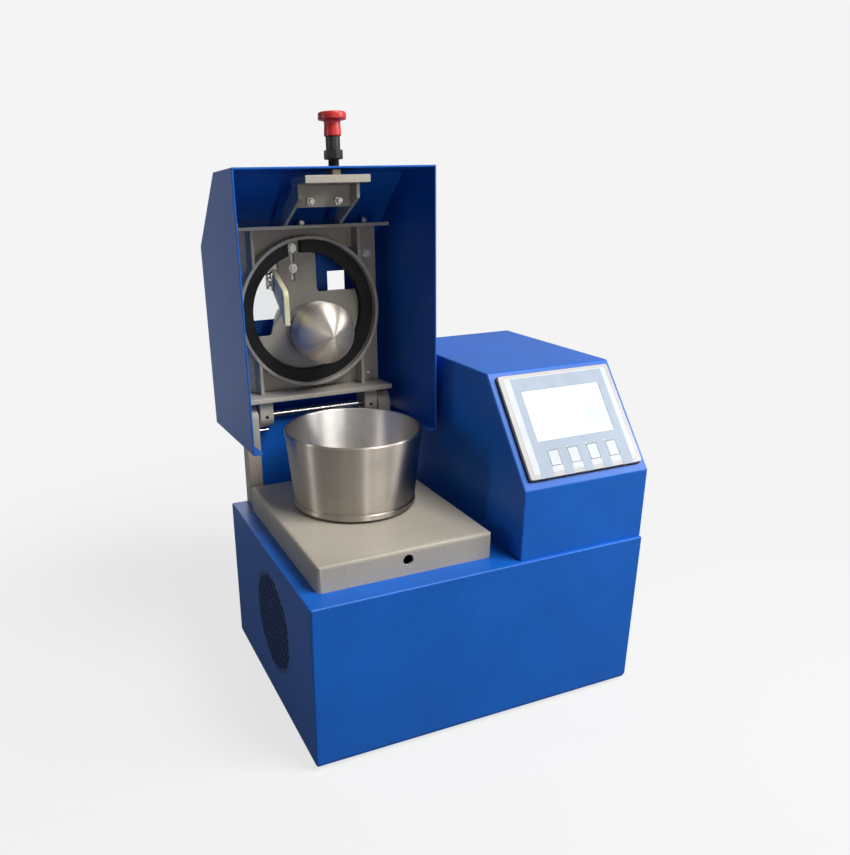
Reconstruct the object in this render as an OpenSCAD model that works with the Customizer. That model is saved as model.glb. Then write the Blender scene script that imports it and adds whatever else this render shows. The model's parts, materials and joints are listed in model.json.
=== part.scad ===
// Laboratory mortar grinder with a swing-up hood, shown with the hood open.
// X to the right, Y to the back, Z up; the origin is on the bench under the middle of the bounding box.
// The values of places below are measured from the middle of the base.

/* [Base] */
// Width of the base housing, left to right
base_w = 390; // [380:1:460]
// Depth of the base housing, front to back
base_d = 288; // [284:1:340]
// Height of the base housing with its bottom plate, without the feet
base_h = 182; // [176:1:240]
// Thickness of the folded sheet
sheet = 2; // [1.5:0.5:3]
// Radius of the housings' upright corners
corner_r = 2.5; // [1:0.5:6]
// Width of the inward flange along the base housing's bottom edge
flange_w = 16; // [10:1:22]
// Height of the rubber feet
foot_h = 6; // [4:1:12]
// Radius of a rubber foot
foot_r = 14; // [10:1:18]
// Distance of a foot's axis from the edges of the base
foot_inset = 36; // [30:1:60]

/* [Vent and fan] */
// Radius of the round vent grille in the left side
vent_r = 58; // [50:1:60]
// Height of the vent's centre above the bench
vent_z = 105; // [90:1:115]
// Place of the vent's centre, front to back
vent_y = -13.5; // [-40:0.5:20]
// Width of a six-sided vent hole across its flats
vent_hole = 4.4; // [3:0.1:5]
// Distance between neighbouring vent holes
vent_pitch = 6; // [5.6:0.1:8]
// Side of the square fan frame
fan_w = 119; // [118:0.5:121]
// Thickness of the fan frame
fan_t = 25; // [20:1:32]
// Number of fan blades
fan_blades = 7; // [5:1:9]

/* [Tray and bowl] */
// Place of the bowl's and hood's middle, left to right
mill_x = -80; // [-84:0.5:-79]
// Place of the bowl's axis, front to back
bowl_y = 22.5; // [18:0.5:26]
// Width of the tray
tray_w = 195; // [190:1:198]
// Place of the tray's front face
tray_front = -117.5; // [-117.5:0.5:-112]
// Place of the tray's back face
tray_back = 115; // [110:0.5:120]
// Height of the tray
tray_h = 29.5; // [27:0.5:30]
// Wall thickness of the tray
tray_t = 3; // [2:0.5:4]
// Rounding of the tray's edges
tray_r = 5; // [2:0.5:8]
// Running gap between the tray and the bowl's foot
bowl_gap = 2.5; // [1.5:0.5:4]
// Height of the bowl
bowl_h = 85.5; // [83:0.5:85.5]
// Outer radius of the bowl's rim
rim_r = 76.4; // [75:0.2:78]
// Wall thickness of the bowl at its rim
rim_t = 3; // [2.5:0.5:4]
// Outer radius of the bowl's foot ring
foot_ring_r = 69.6; // [69:0.2:71]
// Inner radius of the bowl at its floor
floor_r = 64.5; // [64:0.5:65]
// Thickness of the bowl's floor
floor_t = 9.5; // [8.5:0.5:9.5]
// Radius of the round between the bowl's floor and wall
floor_round = 10; // [6:1:12]

/* [Spindle and drive] */
// Radius of the bowl spindle
spindle_r = 12.5; // [10:0.5:14]
// Radial running clearance of shafts in their bores
run_gap = 0.05; // [0.03:0.01:0.1]
// Outer radius of a spindle bearing
bearing_r = 23.5; // [21:0.5:25]
// Height of a spindle bearing
bearing_h = 12; // [9:1:15]
// Outer radius of the bearing housing's tube
housing_r = 30; // [28:1:34]
// Length of the bearing housing
housing_l = 126; // [100:1:130]
// Radius of the bowl plate that carries the bowl
bowl_plate_r = 56; // [52:1:58]
// Belt radius of the driven pulley
driven_r = 60; // [50:1:66]
// Belt radius of the drive pulley
drive_r = 25; // [18:1:30]
// Distance between the spindle and the motor
belt_span = 150; // [140:1:156]
// Thickness of the belt
belt_t = 5; // [4:0.5:6]
// Width of the belt
belt_w = 12; // [8:1:13]
// Width of the pulleys
pulley_w = 18; // [17:1:22]
// Height of the pulleys' undersides above the bench
pulley_z = 30; // [24:1:34]
// Radius of the drive motor
motor_r = 42; // [36:1:44]
// Gap between the drive motor and the base's top sheet
motor_gap = 6; // [4:1:20]
// Side of the square gearbox
gearbox_w = 84; // [76:1:88]
// Height of the gearbox
gearbox_h = 42; // [30:1:42]

/* [Hinge] */
// Place of the hinge axis, front to back
hinge_y = 140; // [140:0.5:142]
// Height of the hinge axis above the base's top
hinge_rise = 108; // [108:0.5:108.5]
// Radius of the hinge shaft
shaft_r = 4; // [3:0.5:6]
// Radius of the posts' eyes and of the knuckles
eye_r = 13.9; // [12:0.1:15]
// Thickness of a hinge post
post_t = 16.4; // [12:0.2:17]
// Distance between the posts' inner faces
post_gap = 156; // [154:1:158]
// Width of a hinge knuckle
knuckle_w = 16.8; // [12:0.2:18]
// Gap between a post and its knuckle
knuckle_gap = 1.6; // [1:0.2:3]
// Angle between the closed and the open hood
open_angle = 92.7; // [85:0.1:96]

/* [Hood] */
// Width of the hood
hood_w = 224; // [220:1:226]
// Room for the lock nut between the latch bar and the hood's front face
bar_room = 8.2; // [8:0.1:10]
// Distance from the hinge axis back to the hood's rear edge
hood_rear = 17.5; // [16:0.5:17.5]
// Distance from the hinge axis down to the closed hood's lower edge
hood_drop = 105; // [102:0.5:105]
// Distance from the hinge axis up to the closed hood's top face
hood_rise = 66.5; // [64:0.5:70]
// Height of the hood's upright front wall
hood_front_h = 77; // [60:1:84]
// Depth of the hood's chamfer
hood_chamfer = 77; // [60:1:90]
// Width of the lips along the hood's rear edge
hood_lip = 9; // [6:0.5:10]
// Side of the square feed hole in the hood
feed_w = 23.5; // [20:0.5:26]

/* [Lid frame] */
// Width of the lid frame's plates
frame_w = 188; // [186:1:192]
// Thickness of the lid frame's plates
frame_t = 4; // [3:0.5:5]
// Height of the lid plate's face above the hinge axis, hood closed
plate_face = 21; // [20:0.5:22]
// Distance from the hinge axis forward to the lower plate
lower_u = 19; // [18.5:0.5:20]
// Distance from the hinge axis forward to the cross plate
cross_u = 213.5; // [210:0.5:216]
// Outer radius of the guard ring
ring_r = 88; // [87:0.5:90]
// Wall thickness of the guard ring
ring_t = 4; // [3:0.5:5]
// Inner radius of the ring gasket
gasket_r = 69; // [68:0.5:70]
// Gap between the closed gasket and the bowl's rim
gasket_gap = 0.5; // [0.4:0.1:1.5]
// Distance of the left ribs from the middle
left_rib = 67; // [60:0.5:72]
// Distance of the right ribs from the middle
right_rib = 64.5; // [60:0.5:72]

/* [Pestle and scraper] */
// Distance from the hinge axis forward to the pestle's axis
pestle_u = 97.5; // [96:0.5:100]
// Distance of the pestle's axis to the right of the middle
pestle_x = 2; // [0:0.5:4]
// Radius of the pestle head
pestle_r = 34.5; // [32:0.5:36]
// Gap between the closed pestle and the bowl's floor
pestle_gap = 0.7; // [0.5:0.1:2]
// Height of the pestle's dome
dome_h = 22; // [18:1:26]
// Length of the pestle head behind its dome
head_l = 30; // [20:1:34]
// Radius of the pestle's neck
neck_r = 20; // [16:0.5:22]
// Radius of the pestle's shaft in its bearings
pestle_shaft_r = 10; // [8:0.5:12]
// Radius of the hole round the pestle's neck in the lid plate
neck_hole_r = 29; // [26:0.5:30]
// Thickness of the scraper blade
blade_t = 6; // [4:0.5:6]
// Gap between the scraper blade and the bowl's floor
blade_gap = 2; // [1.5:0.5:3]
// Travel of the scraper carrier in its slot
scraper_travel = 12; // [6:1:12]
// Thickness of the scraper carrier
carrier_t = 2.5; // [2:0.5:3]
// Length of the pestle's bearing housing behind the lid plate
pestle_housing_l = 33; // [33:1:36]

/* [Latch] */
// Height of the plunger's axis above the base's top, hood closed
latch_rise = 17; // [16:0.5:18]
// Radius of the latch hole in the tray
latch_hole_r = 5.75; // [5.5:0.05:6.5]
// Radius of the plunger pin
pin_r = 4; // [3:0.5:4.5]
// Travel of the plunger
plunger_travel = 8; // [5:1:9]
// Width of the latch bar
bar_w = 72; // [70:1:80]
// Thickness of the latch bar
bar_t = 7.5; // [6:0.5:7.5]
// Height of the latch bar
bar_h = 45; // [42:1:48]
// Gap between the closed latch bar and the tray
bar_gap = 0.8; // [0.6:0.1:1]
// Radius of the knob's cap
knob_r = 14.5; // [12:0.5:16]

/* [Control box] */
// Width of the control box
box_w = 156; // [152:1:156]
// Place of the box's lower front edge, front to back
box_front = -139.5; // [-140:0.5:-136]
// Height of the box's front wall
box_front_h = 77.6; // [70:0.2:90]
// Height of the box
box_h = 181.4; // [170:0.2:190]
// Depth of the box's sloping front
box_slope = 81.7; // [76:0.1:90]
// Width of the operator panel
panel_w = 141; // [138:1:144]
// Height of the operator panel
panel_h = 116; // [112:1:118]
// Distance of the panel from the box's left edge
panel_x = 7.8; // [5:0.2:9]
// Distance of the panel up the slope
panel_up = 9.2; // [5:0.2:10]
// Thickness of the panel gasket
gasket_t = 1.5; // [1:0.1:2]
// Thickness of the panel's bezel
bezel_t = 3.5; // [3:0.1:5]
// Travel of a key
key_travel = 0.8; // [0.4:0.1:0.9]
// Width of a key
key_w = 12; // [9:0.5:14]
// Height of a key
key_h = 16; // [12:0.5:18]

/* [Mains] */
// Distance of the mains inlet's middle from the base's right side
inlet_inset = 45; // [35:1:60]
// Distance of the mains switch's middle from the base's right side
switch_inset = 95; // [88:1:110]
// Height of the inlet and the switch above the bench
inlet_z = 55; // [45:1:70]
// Angle between the rocker's two positions
rocker_angle = 16; // [10:1:18]
// Width of the motor drive
unit_w = 96; // [80:1:120]
// Depth of the motor drive
unit_d = 120; // [90:1:130]
// Height of the motor drive's case
unit_h = 44; // [30:1:60]
// Height of the motor drive's cooling fins
unit_fin_h = 22; // [10:1:30]
// Distance of the motor drive from the control box's rear wall
unit_back = 40; // [35:1:60]

/* [Hidden] */
$fn = 64;
blue = [0.10, 0.35, 0.70];
navy = [0.07, 0.16, 0.36];
beige = [0.71, 0.69, 0.64];
steel = [0.72, 0.71, 0.70];
dark = [0.12, 0.12, 0.13];
zinc = [0.78, 0.78, 0.76];
red = [0.78, 0.18, 0.17];
cream = [0.85, 0.82, 0.66];
base_top = foot_h + base_h;
tray_top = base_top + tray_h;
tray_d = tray_back - tray_front;
bowl_z = tray_top + bowl_gap;
housing_top = base_top + 8;
housing_bottom = housing_top - housing_l;
hinge_z = base_top + hinge_rise;
bowl_u = hinge_y - bowl_y;
plate_back = plate_face + frame_t;
hood_inner_w = hood_rise - sheet;
// the swing frame's height of things that meet the bowl when the hood is closed
rim_w = bowl_z + bowl_h - hinge_z;
floor_w = bowl_z + floor_t - hinge_z;
gasket_w = rim_w + gasket_gap;
tip_w = floor_w + pestle_gap;
plunger_w = base_top + latch_rise - hinge_z;
bar_u = hinge_y - tray_front + bar_gap;
hood_front = bar_u + bar_t + bar_room;
pestle_housing_wall = 3;
cap_u = hood_front + 52;
post_in = post_gap / 2;
knuckle_x = post_in - knuckle_gap - knuckle_w / 2;
box_x = base_w / 2 - box_w;
slope_angle = atan2(box_h - box_front_h, box_slope);
back_y = hinge_y + hood_rise * sin(open_angle) - (hood_front - hood_chamfer) * cos(open_angle);
middle_y = (back_y - base_d / 2) / 2;
motor_x = mill_x + belt_span;
inlet_x = base_w / 2 - inlet_inset;
switch_x = base_w / 2 - switch_inset;
motor_z = pulley_z + pulley_w + 10;
motor_h = base_top - sheet - motor_gap - motor_z - gearbox_h;
key_pitch = 24.4;
key_first = 35.9;
key_low = 12;
display_low = [22.4, 39.4];
display_size = [97.6, 56.5];
housing_cut = [125, 100];
slot_x = -13.5;
slot_u = [154, 196];
slot_screws = [168.5, 191.8];
lid_bolt_at = [[-83, 32], [83, 32], [-83, 181], [83, 181]];
cap_screw_x = [-80, 0, 80];
cap_screw_r = 1.5;
latch_screw_u = 241.5;
window_at = [-40, 146];
window_size = [60, 80];
feed_at = [58, 148];

// The points of a polygon's corner b, between its neighbours a and c, rounded with radius r
function round_corner(a, b, c, r, n) =
    let (p = (a - b) / norm(a - b), q = (c - b) / norm(c - b), half = acos(p * q) / 2,
        centre = b + (p + q) / norm(p + q) * r / sin(half), start = b + p * r / tan(half) - centre,
        turn = (90 - half) * 2 * (cross(p, q) > 0 ? -1 : 1))
    r == 0 ? [b] : [for (i = [0:n]) let (t = turn * i / n)
        centre + [start.x * cos(t) - start.y * sin(t), start.x * sin(t) + start.y * cos(t)]];

// A polygon with its corners rounded; radii has one value for each corner
function rounded(pts, radii, n = 5) =
    let (last = len(pts) - 1)
    [for (i = [0:last]) each round_corner(pts[i == 0 ? last : i - 1], pts[i],
        pts[i == last ? 0 : i + 1], radii[i], n)];

// A convex polygon moved inward by d
function inset(pts, d) =
    let (last = len(pts) - 1)
    [for (i = [0:last])
        let (b = pts[i], p0 = pts[i == 0 ? last : i - 1] - b, q0 = pts[i == last ? 0 : i + 1] - b,
            p = p0 / norm(p0), q = q0 / norm(q0))
        b + (p + q) / norm(p + q) * d / sin(acos(p * q) / 2)];

// A rectangle with its low corner at at
function box_points(at, size) =
    [at, at + [size.x, 0], at + size, at + [0, size.y]];

// Moves the model so that the origin is under the middle of its bounding box
module centred() {
    translate([0, -middle_y, 0]) children();
}

// A plate in the XY plane with rounded corners, round the Z axis
module slab(w, d, h, r) {
    linear_extrude(h)
        polygon(rounded(box_points([-w / 2, -d / 2], [w, d]), [r, r, r, r]));
}

// A box with rounded upright and upper edges, centred on the Z axis
module soft_box(w, d, h, r) {
    intersection() {
        slab(w, d, h, r);
        rotate([90, 0, 90]) translate([0, 0, -w / 2]) linear_extrude(w)
            polygon(rounded(box_points([-d / 2, 0], [d, h]), [0, 0, r, r]));
        rotate([90, 0, 0]) translate([0, 0, -d / 2]) linear_extrude(d)
            polygon(rounded(box_points([-w / 2, 0], [w, h]), [0, 0, r, r]));
    }
}

module hexagon(flats, h) {
    cylinder(r = flats / sqrt(3), h = h, $fn = 6);
}

// A ring about Z, from z = 0
module ring(outer, inner, h) {
    difference() {
        cylinder(r = outer, h = h);
        translate([0, 0, -1]) cylinder(r = inner, h = h + 2);
    }
}

// A ball bearing: one ring with a groove between its races on both faces
module bearing(outer, bore, h) {
    groove = (outer - bore) / 3;
    difference() {
        ring(outer, bore, h);
        for (z = [-1, h - 0.8])
            translate([0, 0, z]) ring(outer - groove, bore + groove, 1.8);
    }
}

// The frame of everything that swings: x from the middle, y = -u, z = w, at the hood's open angle
module lid_frame() {
    translate([mill_x, hinge_y, hinge_z]) rotate([-open_angle, 0, 0]) children();
}

// A place in the swing frame, u forward from the hinge and w up from it when closed
module at(x, u, w) {
    translate([x, -u, w]) children();
}

// A shape drawn in x and u, extruded along w
module sheet_xu(w, h) {
    translate([0, 0, w]) linear_extrude(h) scale_y_back() children();
}

module scale_y_back() {
    mirror([0, 1]) children();
}

// A shape drawn in u and w, extruded along x
module profile_uw(x, width) {
    translate([x + width, 0, 0]) rotate([90, 0, -90]) linear_extrude(width) children();
}

// A frame on the control box's slope: x right, y up the slope, z out of it
module slope_frame() {
    translate([box_x, box_front, base_top + box_front_h]) rotate([slope_angle, 0, 0]) children();
}

// A frame on the base's rear wall, z out of it
module rear_frame(x, z) {
    translate([x, base_d / 2, z]) rotate([-90, 0, 0]) children();
}

module mill_axis(z) {
    translate([mill_x, bowl_y, z]) children();
}

module base_housing() {
    slot_w = 5;
    color(blue) centred() difference() {
        translate([0, 0, foot_h + sheet]) slab(base_w, base_d, base_h - sheet, corner_r);
        translate([0, 0, foot_h + 2 * sheet])
            slab(base_w - 2 * sheet, base_d - 2 * sheet, base_h - 3 * sheet, corner_r);
        translate([0, 0, foot_h])
            slab(base_w - 2 * flange_w, base_d - 2 * flange_w, 3 * sheet, corner_r);
        mill_axis(base_top - 2 * sheet) cylinder(r = housing_r, h = 3 * sheet);
        translate([-base_w / 2 - 1, vent_y, vent_z]) rotate([0, 90, 0])
            cylinder(r = vent_r, h = sheet + 2);
        translate([base_w / 2 - box_w / 2, base_d / 2 - 25, base_top - 2 * sheet])
            cylinder(r = 14, h = 3 * sheet);
        rear_frame(inlet_x, inlet_z) translate([0, 0, -2 * sheet]) slab(30, 24, 3 * sheet, 1);
        rear_frame(switch_x, inlet_z) translate([0, 0, -2 * sheet]) slab(30, 24, 3 * sheet, 1);
        for (i = [-4:4])
            rear_frame(mill_x + i * 12, inlet_z + 40) translate([0, 0, -2 * sheet])
                slab(slot_w, 50, 3 * sheet, slot_w / 2 - 0.1);
    }
}

module foot_places() {
    for (sx = [-1, 1], sy = [-1, 1])
        translate([sx * (base_w / 2 - foot_inset), sy * (base_d / 2 - foot_inset), 0]) children();
}

module base_plate() {
    color(zinc) centred() difference() {
        translate([0, 0, foot_h]) slab(base_w - 2, base_d - 2, sheet, corner_r);
        foot_places() cylinder(r = 2.6, h = base_h / 2);
    }
}

module rubber_feet() {
    color(dark) centred() foot_places() difference() {
        cylinder(r1 = foot_r - 1, r2 = foot_r, h = foot_h);
        translate([0, 0, -1]) cylinder(r = 6, h = foot_h / 2 + 1);
        translate([0, 0, -1]) cylinder(r = 2.6, h = foot_h + 2);
    }
}

module foot_screws() {
    color(zinc) centred() foot_places() {
        translate([0, 0, foot_h / 2 - 2.2]) cylinder(r = 4.5, h = 2.2);
        translate([0, 0, foot_h / 2 - 2.2]) cylinder(r = 2.5, h = foot_h / 2 + sheet + 8);
        translate([0, 0, foot_h + sheet]) hexagon(8, 4);
    }
}

// A flush round insert of the left side, drilled in staggered rows
module vent_grille() {
    row = vent_pitch * sqrt(3) / 2;
    rows = floor((vent_r - 4) / row);
    color(navy) centred() translate([-base_w / 2, vent_y, vent_z]) rotate([0, 90, 0]) linear_extrude(sheet)
        difference() {
            circle(r = vent_r);
            for (j = [-rows:rows], i = [-12:12])
                let (x = (i + (abs(j) % 2) / 2) * vent_pitch, y = j * row)
                    if (norm([x, y]) < vent_r - 4)
                        translate([y, x]) circle(r = vent_hole / sqrt(3), $fn = 6);
        }
}

module fan_frame() {
    hub = 18;
    color(dark) centred() translate([-base_w / 2 + sheet, vent_y, vent_z]) rotate([0, 90, 0])
        difference() {
            union() {
                difference() {
                    slab(fan_w, fan_w, fan_t, 6);
                    translate([0, 0, -1]) cylinder(r = vent_r - 1, h = fan_t + 2);
                }
                translate([0, 0, fan_t - 3]) cylinder(r = hub, h = 3);
                for (a = [0:120:240])
                    rotate(a) translate([hub - 2, -3, fan_t - 3]) cube([vent_r - hub + 2, 6, 3]);
            }
            translate([0, 0, fan_t - 4]) cylinder(r = 2 + run_gap, h = 5);
        }
}

module fan_rotor() {
    hub = 20;
    color([0.2, 0.2, 0.22]) centred() translate([-base_w / 2 + sheet, vent_y, vent_z]) rotate([0, 90, 0]) {
        translate([0, 0, 3]) cylinder(r = hub, h = fan_t - 7);
        translate([0, 0, 4]) cylinder(r = 2, h = fan_t - 4.5);
        for (i = [0:fan_blades - 1])
            rotate(i * 360 / fan_blades) translate([hub - 2, 0, fan_t / 2 - 0.5])
                rotate([35, 0, 0]) translate([0, -11, -0.8]) cube([vent_r - hub - 1.5, 22, 1.6]);
    }
}

module tray() {
    mid = (tray_back + tray_front) / 2;
    color(beige) centred() difference() {
        translate([mill_x, mid, base_top]) soft_box(tray_w, tray_d, tray_h, tray_r);
        translate([mill_x, mid, base_top - 1])
            slab(tray_w - 2 * tray_t, tray_d - 2 * tray_t, tray_h - tray_t + 1, 2);
        mill_axis(base_top) cylinder(r = bowl_plate_r + 3, h = tray_h + 1);
        translate([mill_x, tray_front - 1, base_top + latch_rise]) rotate([-90, 0, 0])
            cylinder(r = latch_hole_r, h = tray_t + 2);
    }
}

module bearing_housing() {
    flange = housing_r + 20;
    color(steel) centred() mill_axis(0) difference() {
        union() {
            translate([0, 0, housing_bottom]) cylinder(r = housing_r, h = housing_l);
            translate([0, 0, base_top]) cylinder(r = flange, h = housing_top - base_top);
            for (a = [45:90:315])
                rotate(a) translate([housing_r + 12, 0, housing_top]) hexagon(10, 4);
        }
        translate([0, 0, housing_bottom - 1]) cylinder(r = spindle_r + 4, h = housing_l + 2);
        translate([0, 0, housing_bottom - 1]) cylinder(r = bearing_r, h = bearing_h + 1);
        translate([0, 0, housing_top - bearing_h]) cylinder(r = bearing_r, h = bearing_h + 1);
    }
}

module spindle_bearings() {
    color(zinc) centred() for (z = [housing_bottom, housing_top - bearing_h])
        mill_axis(z) bearing(bearing_r, spindle_r + run_gap, bearing_h);
}

module spindle() {
    color(steel) centred() mill_axis(pulley_z - 5) cylinder(r = spindle_r, h = bowl_z - 10 - pulley_z + 5);
}

module bowl_plate() {
    disc = 10;
    color(steel) centred() mill_axis(bowl_z) difference() {
        union() {
            translate([0, 0, -disc]) cylinder(r = bowl_plate_r, h = disc);
            translate([0, 0, housing_top + 1 - bowl_z])
                cylinder(r = spindle_r + 8, h = bowl_z - disc - housing_top - 1);
            cylinder(r = 49.7, h = 3.5);
            for (a = [0, 180]) rotate(a) translate([35, 0, 0]) cylinder(r = 3, h = 7);
        }
        translate([0, 0, -bowl_z]) cylinder(r = spindle_r, h = bowl_z - disc);
    }
}

// Turned steel bowl: foot ring, groove, flaring wall, rounded floor
module bowl() {
    recess_r = 50;
    recess_h = 4;
    inner_top = rim_r - rim_t;
    flare = (inner_top - floor_r) / (bowl_h - floor_t);
    outer = [[0, recess_h], [recess_r, recess_h], [recess_r, 0], [foot_ring_r - 1.2, 0],
        [foot_ring_r, 1.2], [foot_ring_r, 6], [foot_ring_r - 1.4, 6.8], [foot_ring_r - 1.4, 8.2],
        [foot_ring_r - 0.6, 9], [rim_r, bowl_h - 1.5], [rim_r - 0.7, bowl_h]];
    inner = [[inner_top + 0.7, bowl_h], [inner_top, bowl_h - 1]];
    round_part = [for (a = [0:15:90])
        [floor_r + flare * floor_round * 0.6 - floor_round * (1 - cos(a)),
            floor_t + floor_round * (1 - sin(a))]];
    color(steel) centred() mill_axis(bowl_z) difference() {
        rotate_extrude($fn = 128) polygon(concat(outer, inner, round_part, [[0, floor_t]]));
        for (a = [0, 180]) rotate(a) translate([35, 0, -1]) cylinder(r = 3.3, h = 9);
    }
}

// A belt pulley about Z, from z = 0, with flanges, a hub and lightening holes
module pulley(r, bore, holes) {
    rim = 2;
    difference() {
        union() {
            cylinder(r = r, h = pulley_w);
            cylinder(r = r + 4, h = rim);
            translate([0, 0, pulley_w - rim]) cylinder(r = r + 4, h = rim);
        }
        translate([0, 0, -1]) cylinder(r = bore, h = pulley_w + 2);
        for (i = [0:1:holes - 1])
            rotate(i * 360 / holes) translate([(r + bore) / 2, 0, -1])
                cylinder(r = (r - bore) / 3.4, h = pulley_w + 2);
    }
}

module driven_pulley() {
    color(dark) centred() mill_axis(pulley_z) pulley(driven_r, spindle_r, 5);
}

// Points of the belt's loop round both pulleys, off their rims by gap
function belt_loop(gap) =
    let (lean = asin((driven_r - drive_r) / belt_span), n = 48)
    concat(
        [for (i = [0:n]) let (a = 90 - lean + i * (180 + 2 * lean) / n)
            (driven_r + gap) * [cos(a), sin(a)]],
        [for (i = [0:n / 2]) let (a = -90 + lean + i * (180 - 2 * lean) / (n / 2))
            [belt_span, 0] + (drive_r + gap) * [cos(a), sin(a)]]);

module drive_belt() {
    color(dark) centred() mill_axis(pulley_z + (pulley_w - belt_w) / 2) linear_extrude(belt_w)
        difference() {
            polygon(belt_loop(belt_t));
            polygon(belt_loop(0.35));
        }
}

module drive_pulley() {
    color(dark) centred() translate([motor_x, bowl_y, pulley_z]) {
        pulley(drive_r, 6, 0);
        translate([0, 0, -2]) cylinder(r = 7, h = pulley_w + 26);
    }
}

module gearbox() {
    color([0.55, 0.57, 0.6]) centred() translate([motor_x, bowl_y, motor_z]) difference() {
        slab(gearbox_w, gearbox_w, gearbox_h, 8);
        translate([0, 0, -1]) cylinder(r = 7 + run_gap, h = 17);
    }
}

module drive_motor() {
    fins = 24;
    color([0.35, 0.38, 0.42]) centred() translate([motor_x, bowl_y, motor_z + gearbox_h]) {
        cylinder(r = motor_r - 5, h = motor_h);
        cylinder(r = motor_r, h = 8);
        translate([0, 0, motor_h - 12]) cylinder(r = motor_r, h = 12);
        for (i = [0:fins - 1])
            rotate(i * 360 / fins) translate([motor_r - 6, -1, 4]) cube([5, 2, motor_h - 10]);
    }
}

module motor_bracket() {
    w = gearbox_w + 16;
    back = gearbox_w / 2 + 1;
    t = 6;
    top = base_top - sheet - motor_z;
    color(zinc) centred() translate([motor_x, bowl_y, motor_z]) {
        difference() {
            translate([-w / 2, -w / 2, -t]) cube([w, w / 2 + back + t, t]);
            translate([0, 0, -t - 1]) cylinder(r = 9, h = t + 2);
        }
        translate([-w / 2, back, -t]) cube([w, t, top + t]);
        translate([-w / 2, back, top - t]) cube([w, 34, t]);
    }
}

// One hinge post: a stem on the base with a round eye for the shaft
module post(side, pin_hole) {
    pin_at = stop_pin_at();
    stem = base_d / 2 - hinge_y + eye_r;
    x0 = side > 0 ? post_in : -post_in - post_t;
    color(beige) centred() difference() {
        union() {
            translate([mill_x + x0, hinge_y - eye_r, base_top]) cube([post_t, stem, hinge_rise]);
            translate([mill_x + x0, hinge_y, hinge_z]) rotate([0, 90, 0])
                cylinder(r = eye_r, h = post_t);
        }
        translate([mill_x + x0 - 1, hinge_y, hinge_z]) rotate([0, 90, 0])
            cylinder(r = shaft_r + run_gap, h = post_t + 2);
        if (pin_hole)
            translate([mill_x - post_in - 8, pin_at.x, pin_at.y]) rotate([0, 90, 0])
                cylinder(r = 1.5, h = 12);
    }
}

// The closed knuckle's neck comes to rest on this pin: its y and z
function stop_pin_at() = [hinge_y - 9, hinge_z - eye_r - 1.55];

module hinge_posts() {
    post(-1, true);
    post(1, false);
}

module stop_pin() {
    pin_at = stop_pin_at();
    color(steel) centred() translate([mill_x - post_in - 8, pin_at.x, pin_at.y]) rotate([0, 90, 0])
        cylinder(r = 1.5, h = 20);
}

// A sheet behind the posts; its middle reaches up behind the shaft, between the knuckles
module rear_guard() {
    overlap = 20;
    w = post_gap + 2 * post_t;
    tongue_w = 2 * (knuckle_x - knuckle_w / 2) - 4;
    color(blue) centred() translate([mill_x, base_d / 2, base_top - overlap]) {
        translate([-w / 2, 0, 0]) cube([w, sheet, overlap + hinge_rise - eye_r - 2]);
        translate([-tongue_w / 2, 0, 0]) cube([tongue_w, sheet, overlap + hinge_rise + shaft_r]);
    }
}

module hinge_shaft() {
    l = post_gap + 2 * post_t - 2;
    color(steel) centred() lid_frame() translate([-l / 2, 0, 0]) rotate([0, 90, 0])
        cylinder(r = shaft_r, h = l);
}

module hinge_knuckles() {
    color(beige) centred() lid_frame() for (sx = [-1, 1]) difference() {
        union() {
            translate([sx * knuckle_x - knuckle_w / 2, 0, 0]) rotate([0, 90, 0])
                cylinder(r = eye_r, h = knuckle_w);
            translate([sx * knuckle_x - knuckle_w / 2, -lower_u, -eye_r])
                cube([knuckle_w, lower_u, 2 * eye_r]);
        }
        translate([sx * knuckle_x - knuckle_w / 2 - 1, 0, 0]) rotate([0, 90, 0])
            cylinder(r = shaft_r, h = knuckle_w + 2);
        at(sx * knuckle_x, 0, -eye_r - 1) cylinder(r = 2.1, h = eye_r + 1 - shaft_r + 0.5);
    }
}

module set_screws() {
    color(dark) centred() lid_frame() for (sx = [-1, 1]) at(sx * knuckle_x, 0, -eye_r + 2.5) difference() {
        cylinder(r = 2.1, h = eye_r - 2.5 - shaft_r - 0.05);
        translate([0, 0, -1]) hexagon(2, 3);
    }
}

// The hood's side outline in u and w; slack moves its open edges out
function hood_outline(slack) = [[-hood_rear - slack, -hood_drop - slack],
    [hood_front, -hood_drop - slack], [hood_front, hood_front_h - hood_drop],
    [hood_front - hood_chamfer, hood_rise], [-hood_rear - slack, hood_rise]];

module hood() {
    r = 3;
    inner_w = hood_w - 2 * sheet;
    color(blue) centred() lid_frame() {
        difference() {
            profile_uw(-hood_w / 2, hood_w) polygon(rounded(hood_outline(0), [0, 0, r, r, 0]));
            profile_uw(-inner_w / 2, inner_w)
                polygon(rounded(inset(hood_outline(20), sheet), [0, 0, 1, 1, 0]));
            sheet_xu(hood_inner_w - 1, sheet + 2)
                polygon(box_points(feed_at - [feed_w, feed_w] / 2, [feed_w, feed_w]));
            sheet_xu(hood_inner_w - 1, sheet + 2)
                polygon(rounded(box_points(window_at - window_size / 2, window_size),
                    [6, 6, 6, 6]));
            at(0, hood_front - sheet - 1, plunger_w) rotate([90, 0, 0])
                cylinder(r = 6.4, h = sheet + 2);
        }
        for (sx = [-1, 1])
            translate([sx * (inner_w / 2 - hood_lip / 2), hood_rear - sheet / 2,
                (hood_inner_w - hood_drop) / 2])
                cube([hood_lip, sheet, hood_inner_w + hood_drop], center = true);
        translate([-inner_w / 2, hood_rear - sheet, hood_inner_w - hood_lip])
            cube([inner_w, sheet, hood_lip]);
    }
}

// Clear pane, flush in the hood's top
module hood_window() {
    color([0.8, 0.85, 0.9, 0.4]) centred() lid_frame() sheet_xu(hood_inner_w, sheet)
        polygon(rounded(box_points(window_at - window_size / 2, window_size), [6, 6, 6, 6]));
}

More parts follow.
